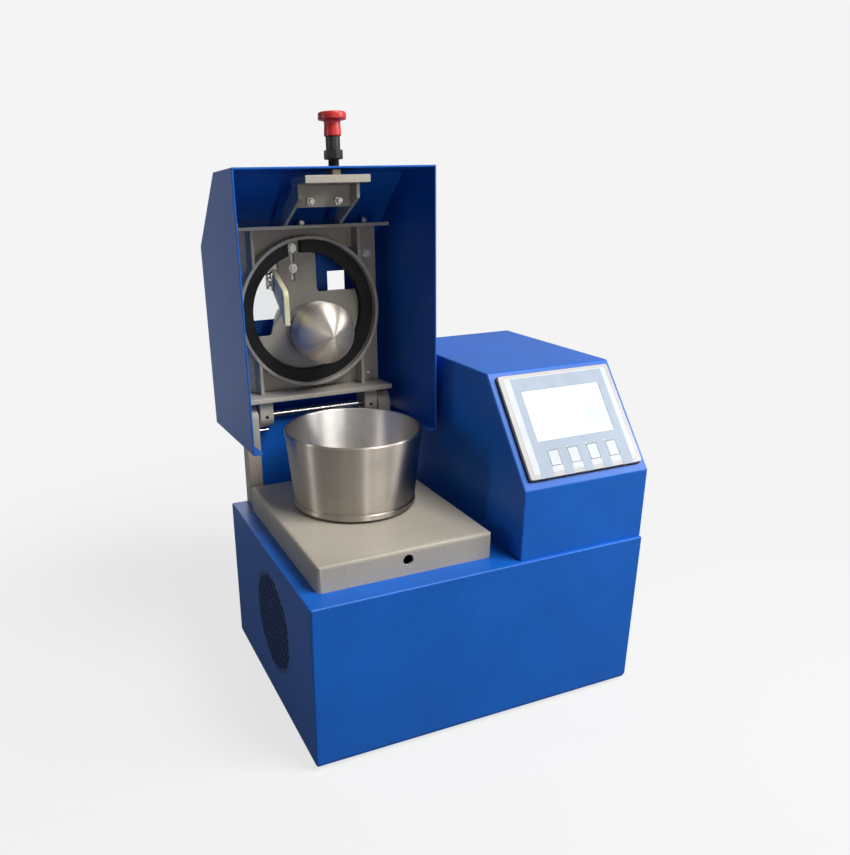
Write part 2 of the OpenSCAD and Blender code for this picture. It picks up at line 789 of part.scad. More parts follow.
// The lid plate's openings: pestle hole, feed cut-out, window cut-out and scraper slot
module lid_plate_cuts() {
    left = [[-31.5, 190], [-46, 190], [-74, 162], [-74, 91.5], [-46, 91.5], [-42.5, 102],
        [-31.5, 116]];
    translate([pestle_x, pestle_u]) circle(r = neck_hole_r);
    polygon(rounded(box_points([15.5, 139.5], [60, 50]), [5, 5, 5, 5]));
    polygon(rounded(left, [4, 4, 4, 4, 2, 6, 2]));
    polygon(rounded(box_points([slot_x - 2.2, slot_u[0]], [4.4, slot_u[1] - slot_u[0]]),
        [2.1, 2.1, 2.1, 2.1]));
}

module lid_plate() {
    low = lower_u + frame_t + 1.5;
    color(beige) centred() lid_frame() difference() {
        sheet_xu(plate_face, frame_t) difference() {
            polygon(box_points([-frame_w / 2, low], [frame_w, cross_u - low]));
            lid_plate_cuts();
            for (p = lid_bolt_at) translate(p) circle(r = 3);
        }
        cap_screw_places() translate([0, 0, -12]) cylinder(r = cap_screw_r, h = 13);
    }
}

module lower_plate() {
    t = frame_t + 1.5;
    color(beige) centred() lid_frame() translate([-frame_w / 2, -lower_u - t, -plate_face])
        cube([frame_w, t, plate_face + plate_back]);
}

// The axes of the screws through the cross plate into the lid plate's edge, z out of them
module cap_screw_places() {
    for (x = cap_screw_x)
        at(x, cross_u, plate_face + frame_t / 2) rotate([90, 0, 0]) children();
}

module cross_plate() {
    color(beige) centred() lid_frame() difference() {
        translate([-frame_w / 2, -cross_u - frame_t, -plate_face])
            cube([frame_w, frame_t, plate_face + plate_back]);
        cap_screw_places() translate([0, 0, -1]) cylinder(r = cap_screw_r, h = frame_t + 2);
    }
}

module ring_ribs() {
    low = lower_u + frame_t + 1.5;
    t = 4;
    color(beige) centred() lid_frame() difference() {
        for (x = [-left_rib, right_rib], span = [[low, bowl_u], [bowl_u, cross_u]])
            translate([x - t / 2, -span[1], 0.5])
                cube([t, span[1] - span[0], plate_face - 0.5]);
        at(0, bowl_u, 0) cylinder(r = ring_r, h = plate_face + 1, $fn = 128);
    }
}

module guard_ring() {
    color(beige) centred() lid_frame() at(0, bowl_u, 0.5)
        ring(ring_r, ring_r - ring_t, plate_face - 0.5, $fn = 128);
}

module ring_gasket() {
    color(dark) centred() lid_frame() difference() {
        at(0, bowl_u, gasket_w) ring(ring_r - ring_t, gasket_r, plate_face - gasket_w, $fn = 128);
        at(slot_x - 8, 201, gasket_w - 1) cube([16, 40, plate_face]);
    }
}

// Screws with spacers to the hood's top, and domed screws on the cross plate
module lid_bolts() {
    color(zinc) centred() lid_frame() {
        for (p = lid_bolt_at) at(p[0], p[1], plate_face) {
            translate([0, 0, -1.2]) cylinder(r = 5.5, h = 1.2);
            translate([0, 0, -5.2]) hexagon(8.5, 4);
            translate([0, 0, -2]) cylinder(r = 3, h = frame_t + 4);
            translate([0, 0, frame_t]) cylinder(r = 6, h = hood_inner_w - plate_back - 0.05);
        }
        cap_screw_places() {
            translate([0, 0, -10]) cylinder(r = cap_screw_r, h = frame_t + 11);
            translate([0, 0, frame_t]) hexagon(9.5, 4);
            translate([0, 0, frame_t + 4]) sphere(r = 4.2);
        }
    }
}

// Carries the pestle's bearings behind the lid plate
module pestle_housing() {
    flange_r = neck_r + 22;
    tube_r = neck_r + 10;
    color(steel) centred() lid_frame() at(pestle_x, pestle_u, plate_back) difference() {
        union() {
            cylinder(r = flange_r, h = 6);
            cylinder(r = tube_r, h = pestle_housing_l);
        }
        translate([0, 0, -1])
            cylinder(r = neck_r + 2, h = pestle_housing_l - pestle_housing_wall + 1);
    }
}

module pestle_bearings() {
    w = 10;
    between = 2;
    color(zinc) centred() lid_frame() for (back = [w, 2 * w + between])
        at(pestle_x, pestle_u, plate_back + pestle_housing_l - pestle_housing_wall - back)
            bearing(neck_r + 2, pestle_shaft_r + run_gap, w);
}

// Turned pestle: dome, head, neck and shaft
module pestle() {
    ball_r = (pestle_r * pestle_r + dome_h * dome_h) / (2 * dome_h);
    spread = asin(pestle_r / ball_r);
    head = tip_w + dome_h + head_l;
    shaft_end = plate_back + pestle_housing_l - pestle_housing_wall - 0.5;
    dome = [for (i = [0:12]) let (a = spread * i / 12)
        [ball_r * sin(a), tip_w + ball_r * (1 - cos(a))]];
    color(steel) centred() lid_frame() at(pestle_x, pestle_u, 0) rotate_extrude($fn = 128)
        polygon(concat(dome, [[pestle_r, head - 2], [pestle_r - 2, head], [neck_r, head],
            [neck_r, plate_back + 5], [pestle_shaft_r, plate_back + 5], [pestle_shaft_r, shaft_end],
            [0, shaft_end]]));
}

// The scraper's own frame: x across the blade, y back along it, z up; leans to the bowl's middle
module scraper_frame() {
    at(-51.3, 113, floor_w + blade_gap) rotate([0, 7.6, 0]) children();
}

// A shape drawn in the blade's length and height, as thick as t, from x
module blade_plane(x, t) {
    translate([x + t, 0, 0]) rotate([90, 0, -90]) linear_extrude(t) children();
}

// The axes of the screws in the blade's upper end
module blade_screw_places() {
    for (p = [[50, 67.5], [41, 67.5]])
        translate([-blade_t / 2 - carrier_t, -p[0], p[1]]) rotate([0, 90, 0]) children();
}

module scraper_blade() {
    color(cream) centred() lid_frame() scraper_frame() difference() {
        blade_plane(-blade_t / 2, blade_t)
            polygon(rounded([[0, 0], [36.7, 0], [53.2, 60], [57, 73], [50.4, 76.5], [30, 68],
                [14.6, 28], [0, 5]], [0.5, 8, 3, 1.5, 1.5, 4, 6, 0.5]));
        blade_screw_places() cylinder(r = 2, h = 2 * blade_t);
    }
}

// Slides behind the lid plate, with a leg that holds the blade
module scraper_carrier() {
    leg_h = plate_back + 4 - floor_w - blade_gap;
    color(steel) centred() lid_frame() difference() {
        union() {
            scraper_frame() blade_plane(-blade_t / 2 - carrier_t, carrier_t)
                polygon([[33, 61], [53, 61], [54, 70], [54, leg_h], [33, leg_h]]);
            sheet_xu(plate_back, 4)
                polygon([[-46, 146], [-20, 155], [-4, 155], [-4, 198], [-23, 198], [-46, 171]]);
        }
        translate([-60, -200, plate_back + 4]) cube([60, 80, 6]);
        for (u = slot_screws) at(slot_x, u, plate_back - 1) cylinder(r = 2, h = 6);
        scraper_frame() blade_screw_places() cylinder(r = 2, h = blade_t);
    }
}

module scraper_screws() {
    color(zinc) centred() lid_frame() {
        for (u = slot_screws) at(slot_x, u, plate_face) {
            translate([0, 0, -1]) cylinder(r = 5.5, h = 1);
            translate([0, 0, -5]) difference() {
                cylinder(r = 3.8, h = 4);
                translate([0, 0, -1]) hexagon(3.2, 3);
            }
            translate([0, 0, -2]) cylinder(r = 2, h = frame_t + 2 + 7);
            translate([0, 0, frame_t + 4]) hexagon(7, 3);
        }
        scraper_frame() blade_screw_places() {
            translate([0, 0, -3.2]) cylinder(r = 3.2, h = 3.2);
            translate([0, 0, -1]) cylinder(r = 2, h = blade_t + carrier_t);
        }
    }
}

// Two gussets with a web between them
module latch_bracket() {
    foot_u = cross_u + frame_t;
    low = tray_top - hinge_z + 3;
    half = bar_w / 2 - 1;
    t = 4;
    color(beige) centred() lid_frame() {
        for (x = [-half, half - t])
            profile_uw(x, t) polygon([[foot_u, -20], [foot_u + 26, low], [bar_u, low],
                [bar_u, -58], [foot_u, 10]]);
        translate([-half, -bar_u, -57]) cube([2 * half, bar_u - foot_u - 18, 3]);
    }
}

module latch_screws() {
    color(zinc) centred() lid_frame() for (x = [-16, 16]) at(x, latch_screw_u, -57) {
        translate([0, 0, -9]) cylinder(r = 2.8, h = 9);
        translate([0, 0, -3]) hexagon(8, 3);
    }
}

module latch_bar() {
    low = plunger_w - 12;
    color(beige) centred() lid_frame() difference() {
        translate([-bar_w / 2, -bar_u - bar_t, low]) cube([bar_w, bar_t, bar_h]);
        at(0, bar_u - 1, plunger_w) rotate([90, 0, 0]) cylinder(r = 6, h = bar_t + 2);
    }
}

// A frame on the plunger's axis, z forward and out of the hood
module plunger_axis(u) {
    at(0, u, plunger_w) rotate([90, 0, 0]) children();
}

module plunger_barrel() {
    hex_u = hood_front + 7;
    sleeve_u = hex_u + 9;
    sleeve_l = 13.3;
    color(dark) centred() lid_frame() difference() {
        union() {
            plunger_axis(bar_u) cylinder(r = 6, h = hex_u - bar_u);
            plunger_axis(hex_u) hexagon(17.5, 9);
            plunger_axis(sleeve_u) cylinder(r = 7.4, h = sleeve_l);
        }
        plunger_axis(bar_u - 1) cylinder(r = pin_r + run_gap, h = sleeve_u + sleeve_l - bar_u + 2);
    }
}

module lock_nut() {
    color([0.45, 0.44, 0.36]) centred() lid_frame() plunger_axis(bar_u + bar_t) difference() {
        hexagon(15, 5.5);
        translate([0, 0, -1]) cylinder(r = 6, h = 8);
    }
}

module plunger_pin() {
    color(steel) centred() lid_frame() {
        plunger_axis(bar_u + 2.3) cylinder(r = pin_r, h = cap_u - 10 - bar_u - 2.3);
        plunger_axis(bar_u + 0.3) cylinder(r1 = pin_r - 1, r2 = pin_r, h = 2);
    }
}

module plunger_knob() {
    skirt_u = cap_u - 23;
    color(red) centred() lid_frame() difference() {
        union() {
            plunger_axis(skirt_u) cylinder(r = 8.9, h = 15);
            plunger_axis(cap_u - 8.5) cylinder(r = knob_r, h = 6.5);
            plunger_axis(cap_u - 2) cylinder(r1 = knob_r, r2 = knob_r - 2, h = 2);
        }
        plunger_axis(skirt_u - 1) cylinder(r = 7.7, h = plunger_travel + 2.5);
        plunger_axis(skirt_u - 1) cylinder(r = pin_r, h = 14);
    }
}

// The control box's side outline in y and z; slack moves its open lower edge down
function box_outline(slack) = [[box_front, -slack], [base_d / 2, -slack], [base_d / 2, box_h],
    [box_front + box_slope, box_h], [box_front, box_front_h]];

module control_box() {
    r = 3;
    inner_w = box_w - 2 * sheet;
    color(blue) centred() difference() {
        translate([box_x, 0, base_top]) rotate([90, 0, 90]) linear_extrude(box_w)
            polygon(rounded(box_outline(0), [0, 0, r, r, r]));
        translate([box_x + sheet, 0, base_top]) rotate([90, 0, 90]) linear_extrude(inner_w)
            polygon(rounded(inset(box_outline(20), sheet), [0, 0, 1, 1, 1]));
        slope_frame() panel_middle() translate([0, 0, -10])
            slab(housing_cut.x + 1, housing_cut.y + 1, 20, 2);
    }
}

module panel_middle() {
    translate([panel_x + panel_w / 2, panel_up + panel_h / 2, 0]) children();
}

module panel_housing() {
    depth = 38;
    color([0.3, 0.31, 0.33]) centred() slope_frame() panel_middle() translate([0, 0, -depth])
        slab(housing_cut.x, housing_cut.y, depth + gasket_t, 2);
}

module panel_gasket() {
    color(dark) centred() slope_frame() panel_middle() difference() {
        slab(panel_w + 2, panel_h + 2, gasket_t, 4);
        translate([0, 0, -1]) slab(housing_cut.x + 1, housing_cut.y + 1, gasket_t + 2, 2);
    }
}

// Places of the keys on the bezel
module key_place(i) {
    translate([panel_x + key_first + i * key_pitch, panel_up + key_low + key_h / 2, 0])
        children();
}

module panel_bezel() {
    color([0.86, 0.87, 0.88]) centred() slope_frame() difference() {
        panel_middle() translate([0, 0, gasket_t]) slab(panel_w, panel_h, bezel_t, 3);
        translate([panel_x, panel_up, 0]) linear_extrude(gasket_t + bezel_t + 1)
            polygon(box_points(display_low, display_size));
        for (i = [0:3]) key_place(i) slab(key_w + 0.8, key_h + 0.8, gasket_t + bezel_t + 1, 1.2);
    }
}

module display() {
    color([0.93, 0.97, 1]) centred() slope_frame() translate([panel_x, panel_up, gasket_t])
        linear_extrude(bezel_t - 0.4) polygon(box_points(display_low, display_size));
}

module panel_key(i) {
    color([0.9, 0.95, 0.98]) centred() slope_frame() key_place(i)
        translate([0, 0, gasket_t + key_travel + 0.15])
        slab(key_w, key_h, bezel_t - key_travel + 0.15, 1);
}

module key_1() {
    panel_key(0);
}

module key_2() {
    panel_key(1);
}

module key_3() {
    panel_key(2);
}

module key_4() {
    panel_key(3);
}

module mains_inlet() {
    color(dark) centred() rear_frame(inlet_x, inlet_z) {
        difference() {
            union() {
                slab(48, 28, 3, 3);
                translate([0, 0, -26]) slab(30, 24, 26, 1);
            }
            translate([0, 0, -18]) slab(25, 17, 22, 2);
        }
        for (p = [[-7, 2], [0, -2], [7, 2]])
            translate([p.x, p.y, -18]) slab(2, 4, 14, 0.4);
    }
}

module switch_frame() {
    color(dark) centred() rear_frame(switch_x, inlet_z) difference() {
        union() {
            slab(36, 28, 2, 3);
            translate([0, 0, -20]) slab(30, 24, 20, 1);
        }
        translate([0, 0, -16]) slab(25, 19, 20, 1);
        translate([-14, 0, -3]) rotate([0, 90, 0]) cylinder(r = 1.5 + run_gap, h = 28);
    }
}

// Rocks about its axle; its face is bent so that either half can be pressed in
module switch_rocker() {
    half = 8.4;
    rise = half * tan(rocker_angle / 2);
    color([0.75, 0.12, 0.1]) centred() rear_frame(switch_x, inlet_z) translate([0, 0, -3])
        rotate([rocker_angle / 2, 0, 0]) {
            rotate([90, 0, 90]) translate([0, 0, -12]) linear_extrude(24)
                polygon([[-half, -3], [half, -3], [half, 4 + rise], [0, 4], [-half, 4 + rise]]);
            rotate([0, 90, 0]) translate([0, 0, -13.5]) cylinder(r = 1.5, h = 27);
        }
}

// Mains-fed motor drive on the base's top, inside the control box
module motor_drive() {
    fins = 9;
    fin_t = 3;
    pitch = (unit_w - 2 * fin_t - fin_t) / (fins - 1);
    color([0.4, 0.42, 0.45]) centred()
        translate([box_x + box_w / 2, base_d / 2 - unit_back - unit_d / 2, base_top]) {
            slab(unit_w, unit_d, unit_h, 3);
            for (i = [0:fins - 1])
                translate([fin_t - unit_w / 2 + i * pitch, 4 - unit_d / 2, unit_h - 1])
                    cube([fin_t, unit_d - 8, unit_fin_h]);
        }
}

base_housing();
base_plate();
rubber_feet();
foot_screws();
vent_grille();
fan_frame();
fan_rotor();
tray();
bearing_housing();
spindle_bearings();
spindle();
bowl_plate();
bowl();
driven_pulley();
drive_belt();
drive_pulley();
gearbox();
drive_motor();
motor_bracket();
hinge_posts();
stop_pin();
rear_guard();
hinge_shaft();
hinge_knuckles();
set_screws();
hood();
hood_window();
lid_plate();
lower_plate();
cross_plate();
ring_ribs();
guard_ring();
ring_gasket();
lid_bolts();
pestle_housing();
pestle_bearings();
pestle();
scraper_blade();
scraper_carrier();
scraper_screws();
latch_bracket();
latch_screws();
latch_bar();
plunger_barrel();
lock_nut();
plunger_pin();
plunger_knob();
control_box();
panel_housing();
panel_gasket();
panel_bezel();
display();
key_1();
key_2();
key_3();
key_4();
mains_inlet();
switch_frame();
switch_rocker();
motor_drive();
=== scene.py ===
"""Looks of a bench-top mortar grinder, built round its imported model: finishes, rounded edges, folded
housings, the turned index plunger, the panel's films, cover screws, a studio stage and the camera."""

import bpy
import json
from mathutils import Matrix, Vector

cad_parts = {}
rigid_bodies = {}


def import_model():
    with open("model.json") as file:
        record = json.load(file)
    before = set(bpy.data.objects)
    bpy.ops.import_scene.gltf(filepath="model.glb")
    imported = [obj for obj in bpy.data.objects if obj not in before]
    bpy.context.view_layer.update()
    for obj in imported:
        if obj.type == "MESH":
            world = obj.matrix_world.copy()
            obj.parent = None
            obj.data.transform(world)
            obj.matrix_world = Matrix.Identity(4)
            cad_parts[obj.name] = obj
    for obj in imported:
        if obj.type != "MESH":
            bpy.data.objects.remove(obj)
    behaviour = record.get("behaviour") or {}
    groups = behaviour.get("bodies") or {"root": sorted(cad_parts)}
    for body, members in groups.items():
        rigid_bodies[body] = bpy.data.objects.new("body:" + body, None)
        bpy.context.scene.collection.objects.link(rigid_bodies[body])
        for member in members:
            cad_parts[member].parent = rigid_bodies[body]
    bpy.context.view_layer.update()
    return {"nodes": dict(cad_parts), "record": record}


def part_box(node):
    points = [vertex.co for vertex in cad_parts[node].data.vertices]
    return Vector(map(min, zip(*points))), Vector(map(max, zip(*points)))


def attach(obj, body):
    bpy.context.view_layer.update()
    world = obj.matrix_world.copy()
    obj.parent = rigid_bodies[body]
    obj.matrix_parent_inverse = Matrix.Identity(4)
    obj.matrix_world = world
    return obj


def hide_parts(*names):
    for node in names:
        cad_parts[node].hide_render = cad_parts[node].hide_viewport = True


bl_info = {
    "name": "Mortar Grinder",
    "version": (1, 0, 0),
    "blender": (4, 5, 0),
    "location": "3D View > Sidebar > Grinder",
    "description": "Dresses the mortar grinder's packed model with finished pieces and materials",
    "category": "Object",
}

import json
import math

import bmesh
import bpy
from mathutils import Euler, Matrix, Vector

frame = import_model()

MM = 0.001

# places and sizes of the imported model, in millimetres
MIDDLE_Y = 35.853            # the model stands this much further forward, so that its box is centred
BASE_D, BASE_TOP = 288.0, 188.0
MILL_X, BOWL_Y, BOWL_Z = -80.0, 22.5, 220.0
HINGE_Y, HINGE_Z = 140.0, 296.0
OPEN_ANGLE = math.radians(92.7)
BOX_X, BOX_FRONT, BOX_FRONT_H, BOX_H, BOX_SLOPE = 39.0, -139.5, 77.6, 181.4, 81.7
SLOPE_ANGLE = math.atan2(BOX_H - BOX_FRONT_H, BOX_SLOPE)
PANEL_X, PANEL_UP, PANEL_W, PANEL_H, PANEL_FACE = 7.8, 9.2, 141.0, 116.0, 5.0
DISPLAY_LOW, DISPLAY_SIZE = (22.4, 39.4), (97.6, 56.5)
KEY_FIRST, KEY_PITCH, KEY_LOW, KEY_W, KEY_H = 35.9, 24.4, 12.0, 12.0, 16.0
KEYS = [KEY_FIRST + i * KEY_PITCH for i in range(4)]
PESTLE_X, PESTLE_U = 2.0, 97.5
PLUNGER_W, BAR_U, HOOD_FRONT, KNOB_FOOT = -91.0, 258.3, 274.0, 303.0
INLET_X, INLET_Z, INLET_FACE = 150.0, 55.0, 3.0

# what the model leaves to the looks, in millimetres
FILM_T, FILM_SIDE, FILM_LOW, FILM_TOP = 0.18, 5.5, 5.0, 4.0
PRINT_T, PRINT_FIELD = 0.06, (13.5, 13.0, 129.5, 111.0)
DISPLAY_COOL = (104.0, 58.0)
KEY_WELL_GAP, LAMP_UP, LAMP_R, LAMP_H = 0.5, 29.6, 1.0, 0.3
THREAD_PITCH, THREAD_R, THREAD_DEPTH = 1.25, 6.0, 0.75
HEXAGON_W, HEXAGON_H = 17.5, 9.0     # across its flats, and along the barrel
BASE_SCREWS = [(x, z) for x in (-183, -20, 183) for z in (20, 176)]
BOX_SCREWS = [(x, z) for x in (48, 186) for z in (200, 357)]
INLET_SCREWS = [(INLET_X + side, INLET_Z) for side in (-20, 20)]
HOOD_FOLD = 0.9
WIDE_FACE = 500 * MM * MM    # faces above this area are shaded flat
PAPER_R = 30.0               # metres

# the camera, solved from the photograph's straight edges: metres, degrees and millimetres
CAMERA_AT = (-0.399144, -0.788355, 0.564997)
CAMERA_TURN = (68.870, 0.962, -22.713)
CAMERA_LENS, CAMERA_SHIFT = 33.217, (0.0837, 0.0622)

# where the lamps point, and their name, place, width and height in metres, and share of the key's power
LAMPS_AT = Vector((-0.02, -0.03, 0.28))
LAMPS = (("key_softbox", (0.66, -1.05, 2.05), 0.9, 0.9, 1.0),
         ("right_softbox", (1.60, -1.00, 1.17), 0.6, 0.6, 0.45),
         ("back_softbox", (0.15, 1.85, 0.80), 1.0, 0.6, 0.12),
         ("front_strip", (-0.12, -1.75, 0.45), 0.05, 0.6, 0.07),
         ("side_strip", (-1.45, 0.15, 0.60), 0.06, 0.6, 0.06))
# the way from which the room is brightest: the upper right in front
ROOM_WAY = (0.50, -0.45, 0.74)

# frames of pieces, from millimetres in the piece's own frame to metres in the row frame
SCALE = Matrix.Scale(MM, 4)
WHOLE = Matrix.Translation((0, -MIDDLE_Y * MM, 0)) @ SCALE
LID = WHOLE @ Matrix.Translation((MILL_X, HINGE_Y, HINGE_Z)) @ Matrix.Rotation(-OPEN_ANGLE, 4, "X")
PANEL = (WHOLE @ Matrix.Translation((BOX_X, BOX_FRONT, BASE_TOP + BOX_FRONT_H))
         @ Matrix.Rotation(SLOPE_ANGLE, 4, "X") @ Matrix.Translation((PANEL_X, PANEL_UP, 0)))
PLUNGER = LID @ Matrix.Translation((0, 0, PLUNGER_W)) @ Matrix.Rotation(math.pi / 2, 4, "X")

SLOT_OF = {part["node"]: part["material_slot"] for part in frame["record"]["subparts"]}
BODY_OF = {node: body for body, nodes in frame["record"]["behaviour"]["bodies"].items()
           for node in nodes}


def linear(hex_colour):
    """An sRGB hex colour as linear RGBA."""
    parts = [int(hex_colour[i:i + 2], 16) / 255 for i in (1, 3, 5)]
    return (*[c / 12.92 if c <= 0.04045 else ((c + 0.055) / 1.055) ** 2.4 for c in parts], 1.0)


def shade(colour, factor):
    """A linear colour made lighter or darker."""
    return (*[min(1.0, c * factor) for c in colour[:3]], 1.0)


def add(tree, kind, inputs=None, **settings):
    """Adds a node with its settings; each input takes a value or another node's output."""
    node = tree.nodes.new(kind)
    for key, value in settings.items():
        setattr(node, key, value)
    for key, value in (inputs or {}).items():
        if isinstance(value, bpy.types.NodeSocket):
            tree.links.new(value, node.inputs[key])
        else:
            node.inputs[key].default_value = value
    return node


def new_material(name):
    """A material with an empty tree; returns both."""
    material = bpy.data.materials.new(name)
    material.use_nodes = True
    material.node_tree.nodes.clear()
    return material, material.node_tree


def close(tree, shader):
    """Links a shader to the material's output."""
    add(tree, "ShaderNodeOutputMaterial", {"Surface": shader})


# the scales of noise below are 1000 / the size of a grain in millimetres


def powder_coat(name, colour, low=0.30, high=0.44):
    """Polyester powder coat on steel sheet, sprayed and baked: an even colour with a fine orange peel
    that breaks up its satin gloss. The peel is really about 0.5 mm, and is drawn coarser to show."""
    material, tree = new_material(name)
    place = add(tree, "ShaderNodeTexCoord").outputs["Object"]
    peel = add(tree, "ShaderNodeTexNoise", {
        "Vector": place, "Scale": 1000 / 1.6, "Detail": 2.0, "Roughness": 0.5}).outputs["Fac"]
    drift = add(tree, "ShaderNodeTexNoise", {
        "Vector": place, "Scale": 1000 / 90, "Detail": 3.0, "Roughness": 0.55}).outputs["Fac"]
    speck = add(tree, "ShaderNodeTexNoise", {
        "Vector": place, "Scale": 1000 / 3.2, "Detail": 4.0, "Roughness": 0.7}).outputs["Fac"]
    tone = add(tree, "ShaderNodeMath", {0: drift, 1: speck}, operation="ADD").outputs[0]
    blend = add(tree, "ShaderNodeMapRange", {
        "Value": tone, "From Min": 0.75, "From Max": 1.25}).outputs[0]
    mix = add(tree, "ShaderNodeMix", {
        "Factor": blend, "A": shade(colour, 0.9), "B": shade(colour, 1.09)},
        data_type="RGBA").outputs["Result"]
    rough = add(tree, "ShaderNodeMapRange", {
        "Value": peel, "From Min": 0.3, "From Max": 0.7, "To Min": low, "To Max": high}).outputs[0]
    bump = add(tree, "ShaderNodeBump", {
        "Height": peel, "Strength": 0.35, "Distance": 0.00006}).outputs[0]
    coat = add(tree, "ShaderNodeBsdfPrincipled", {
        "Base Color": mix, "Roughness": rough, "Normal": bump, "IOR": 1.45,
        "Specular IOR Level": 0.4, "Metallic": 0.0})
    close(tree, coat.outputs[0])
    return material


def turned_metal(name, colour, centre, axis, stain=0.0, tangent="Z"):
    """Stainless steel turned on a lathe: fine feed lines run round the axis and spread each reflection
    along it, so that light stands on the wall in upright bands. The lines are drawn coarser than the
    real 0.1 mm feed. Walls that face the axis are painted brighter, as painted light falling into the
    bowl."""
    material, tree = new_material(name)
    coordinates = add(tree, "ShaderNodeTexCoord")
    place = coordinates.outputs["Object"]
    local = add(tree, "ShaderNodeVectorMath", {0: place, 1: centre}, operation="SUBTRACT").outputs[0]
    along = add(tree, "ShaderNodeVectorMath", {0: local, 1: axis},
                operation="DOT_PRODUCT").outputs["Value"]
    shift = add(tree, "ShaderNodeVectorMath", {0: axis, "Scale": along}, operation="SCALE").outputs[0]
    out = add(tree, "ShaderNodeVectorMath", {0: local, 1: shift}, operation="SUBTRACT").outputs[0]
    radius = add(tree, "ShaderNodeVectorMath", {0: out}, operation="LENGTH").outputs["Value"]
    facing = add(tree, "ShaderNodeVectorMath", {0: out}, operation="NORMALIZE").outputs[0]
    feed = add(tree, "ShaderNodeMath", {0: radius, 1: 0.7, 2: along},
               operation="MULTIPLY_ADD").outputs[0]
    lines = add(tree, "ShaderNodeTexNoise", {
        "W": feed, "Scale": 1000 / 0.7, "Detail": 3.0, "Roughness": 0.65},
        noise_dimensions="1D").outputs["Fac"]
    streaks = add(tree, "ShaderNodeTexNoise", {
        "Vector": facing, "Scale": 3.2, "Detail": 3.0, "Roughness": 0.5}).outputs["Fac"]
    marks = add(tree, "ShaderNodeTexNoise", {
        "Vector": place, "Scale": 1000 / 30, "Detail": 4.0, "Roughness": 0.55}).outputs["Fac"]
    tone = add(tree, "ShaderNodeMath", {0: lines, 1: 0.3, 2: streaks},
               operation="MULTIPLY_ADD").outputs[0]
    blend = add(tree, "ShaderNodeMapRange", {
        "Value": tone, "From Min": 0.4, "From Max": 0.95}).outputs[0]
    metal = add(tree, "ShaderNodeMix", {
        "Factor": blend, "A": shade(colour, 0.88), "B": shade(colour, 1.1)},
        data_type="RGBA").outputs["Result"]
    # painted light: walls facing the axis, the bowl's inside, are blended towards a pale steel colour as
    # painted light falling into the bowl
    outward = add(tree, "ShaderNodeVectorMath", {0: coordinates.outputs["Normal"], 1: facing},
                  operation="DOT_PRODUCT").outputs["Value"]
    painted_inner_light = add(tree, "ShaderNodeMapRange", {
        "Value": outward, "From Min": -0.3, "From Max": -0.05, "To Min": 0.8, "To Max": 0.0}).outputs[0]
    metal = add(tree, "ShaderNodeMix", {"Factor": painted_inner_light, "A": metal, "B": linear("#dcd9d6")},
                data_type="RGBA").outputs["Result"]
    spots = add(tree, "ShaderNodeMapRange", {
        "Value": marks, "From Min": 0.45, "From Max": 0.8, "To Min": 0.0, "To Max": stain}).outputs[0]
    dull = add(tree, "ShaderNodeMix", {"Factor": spots, "A": metal, "B": linear("#6b5e4c")},
               data_type="RGBA").outputs["Result"]
    rough = add(tree, "ShaderNodeMapRange", {
        "Value": tone, "From Min": 0.4, "From Max": 0.95, "To Min": 0.45, "To Max": 0.37}).outputs[0]
    bump = add(tree, "ShaderNodeBump", {
        "Height": lines, "Strength": 0.12, "Distance": 0.00002}).outputs[0]
    spin = add(tree, "ShaderNodeTangent", direction_type="RADIAL", axis=tangent).outputs[0]
    # the tangent runs round the axis, and a quarter turn spreads the reflection across the feed lines
    steel = add(tree, "ShaderNodeBsdfPrincipled", {
        "Base Color": dull, "Metallic": 1.0, "Roughness": rough, "Anisotropic": 0.95,
        "Anisotropic Rotation": 0.25, "Tangent": spin, "Normal": bump})
    close(tree, steel.outputs[0])
    return material


def plated_metal(name, colour, low, high, grain_mm=1.2, depth=0.00003, grain_rough=0.55):
    """Plated, oxidised or cast metal: a metal whose tone and gloss drift a little, over a fine grain,
    or over the coarse skin of a casting."""
    material, tree = new_material(name)
    place = add(tree, "ShaderNodeTexCoord").outputs["Object"]
    grain = add(tree, "ShaderNodeTexNoise", {
        "Vector": place, "Scale": 1000 / grain_mm, "Detail": 4.0, "Roughness": grain_rough}).outputs["Fac"]
    drift = add(tree, "ShaderNodeTexNoise", {
        "Vector": place, "Scale": 1000 / 14, "Detail": 3.0}).outputs["Fac"]
    blend = add(tree, "ShaderNodeMapRange", {
        "Value": drift, "From Min": 0.3, "From Max": 0.7}).outputs[0]
    mix = add(tree, "ShaderNodeMix", {
        "Factor": blend, "A": shade(colour, 0.82), "B": shade(colour, 1.12)},
        data_type="RGBA").outputs["Result"]
    rough = add(tree, "ShaderNodeMapRange", {
        "Value": grain, "From Min": 0.3, "From Max": 0.7, "To Min": low, "To Max": high}).outputs[0]
    bump = add(tree, "ShaderNodeBump", {
        "Height": grain, "Strength": 0.4, "Distance": depth}).outputs[0]
    metal = add(tree, "ShaderNodeBsdfPrincipled", {
        "Base Color": mix, "Metallic": 1.0, "Roughness": rough, "Normal": bump})
    close(tree, metal.outputs[0])
    return material


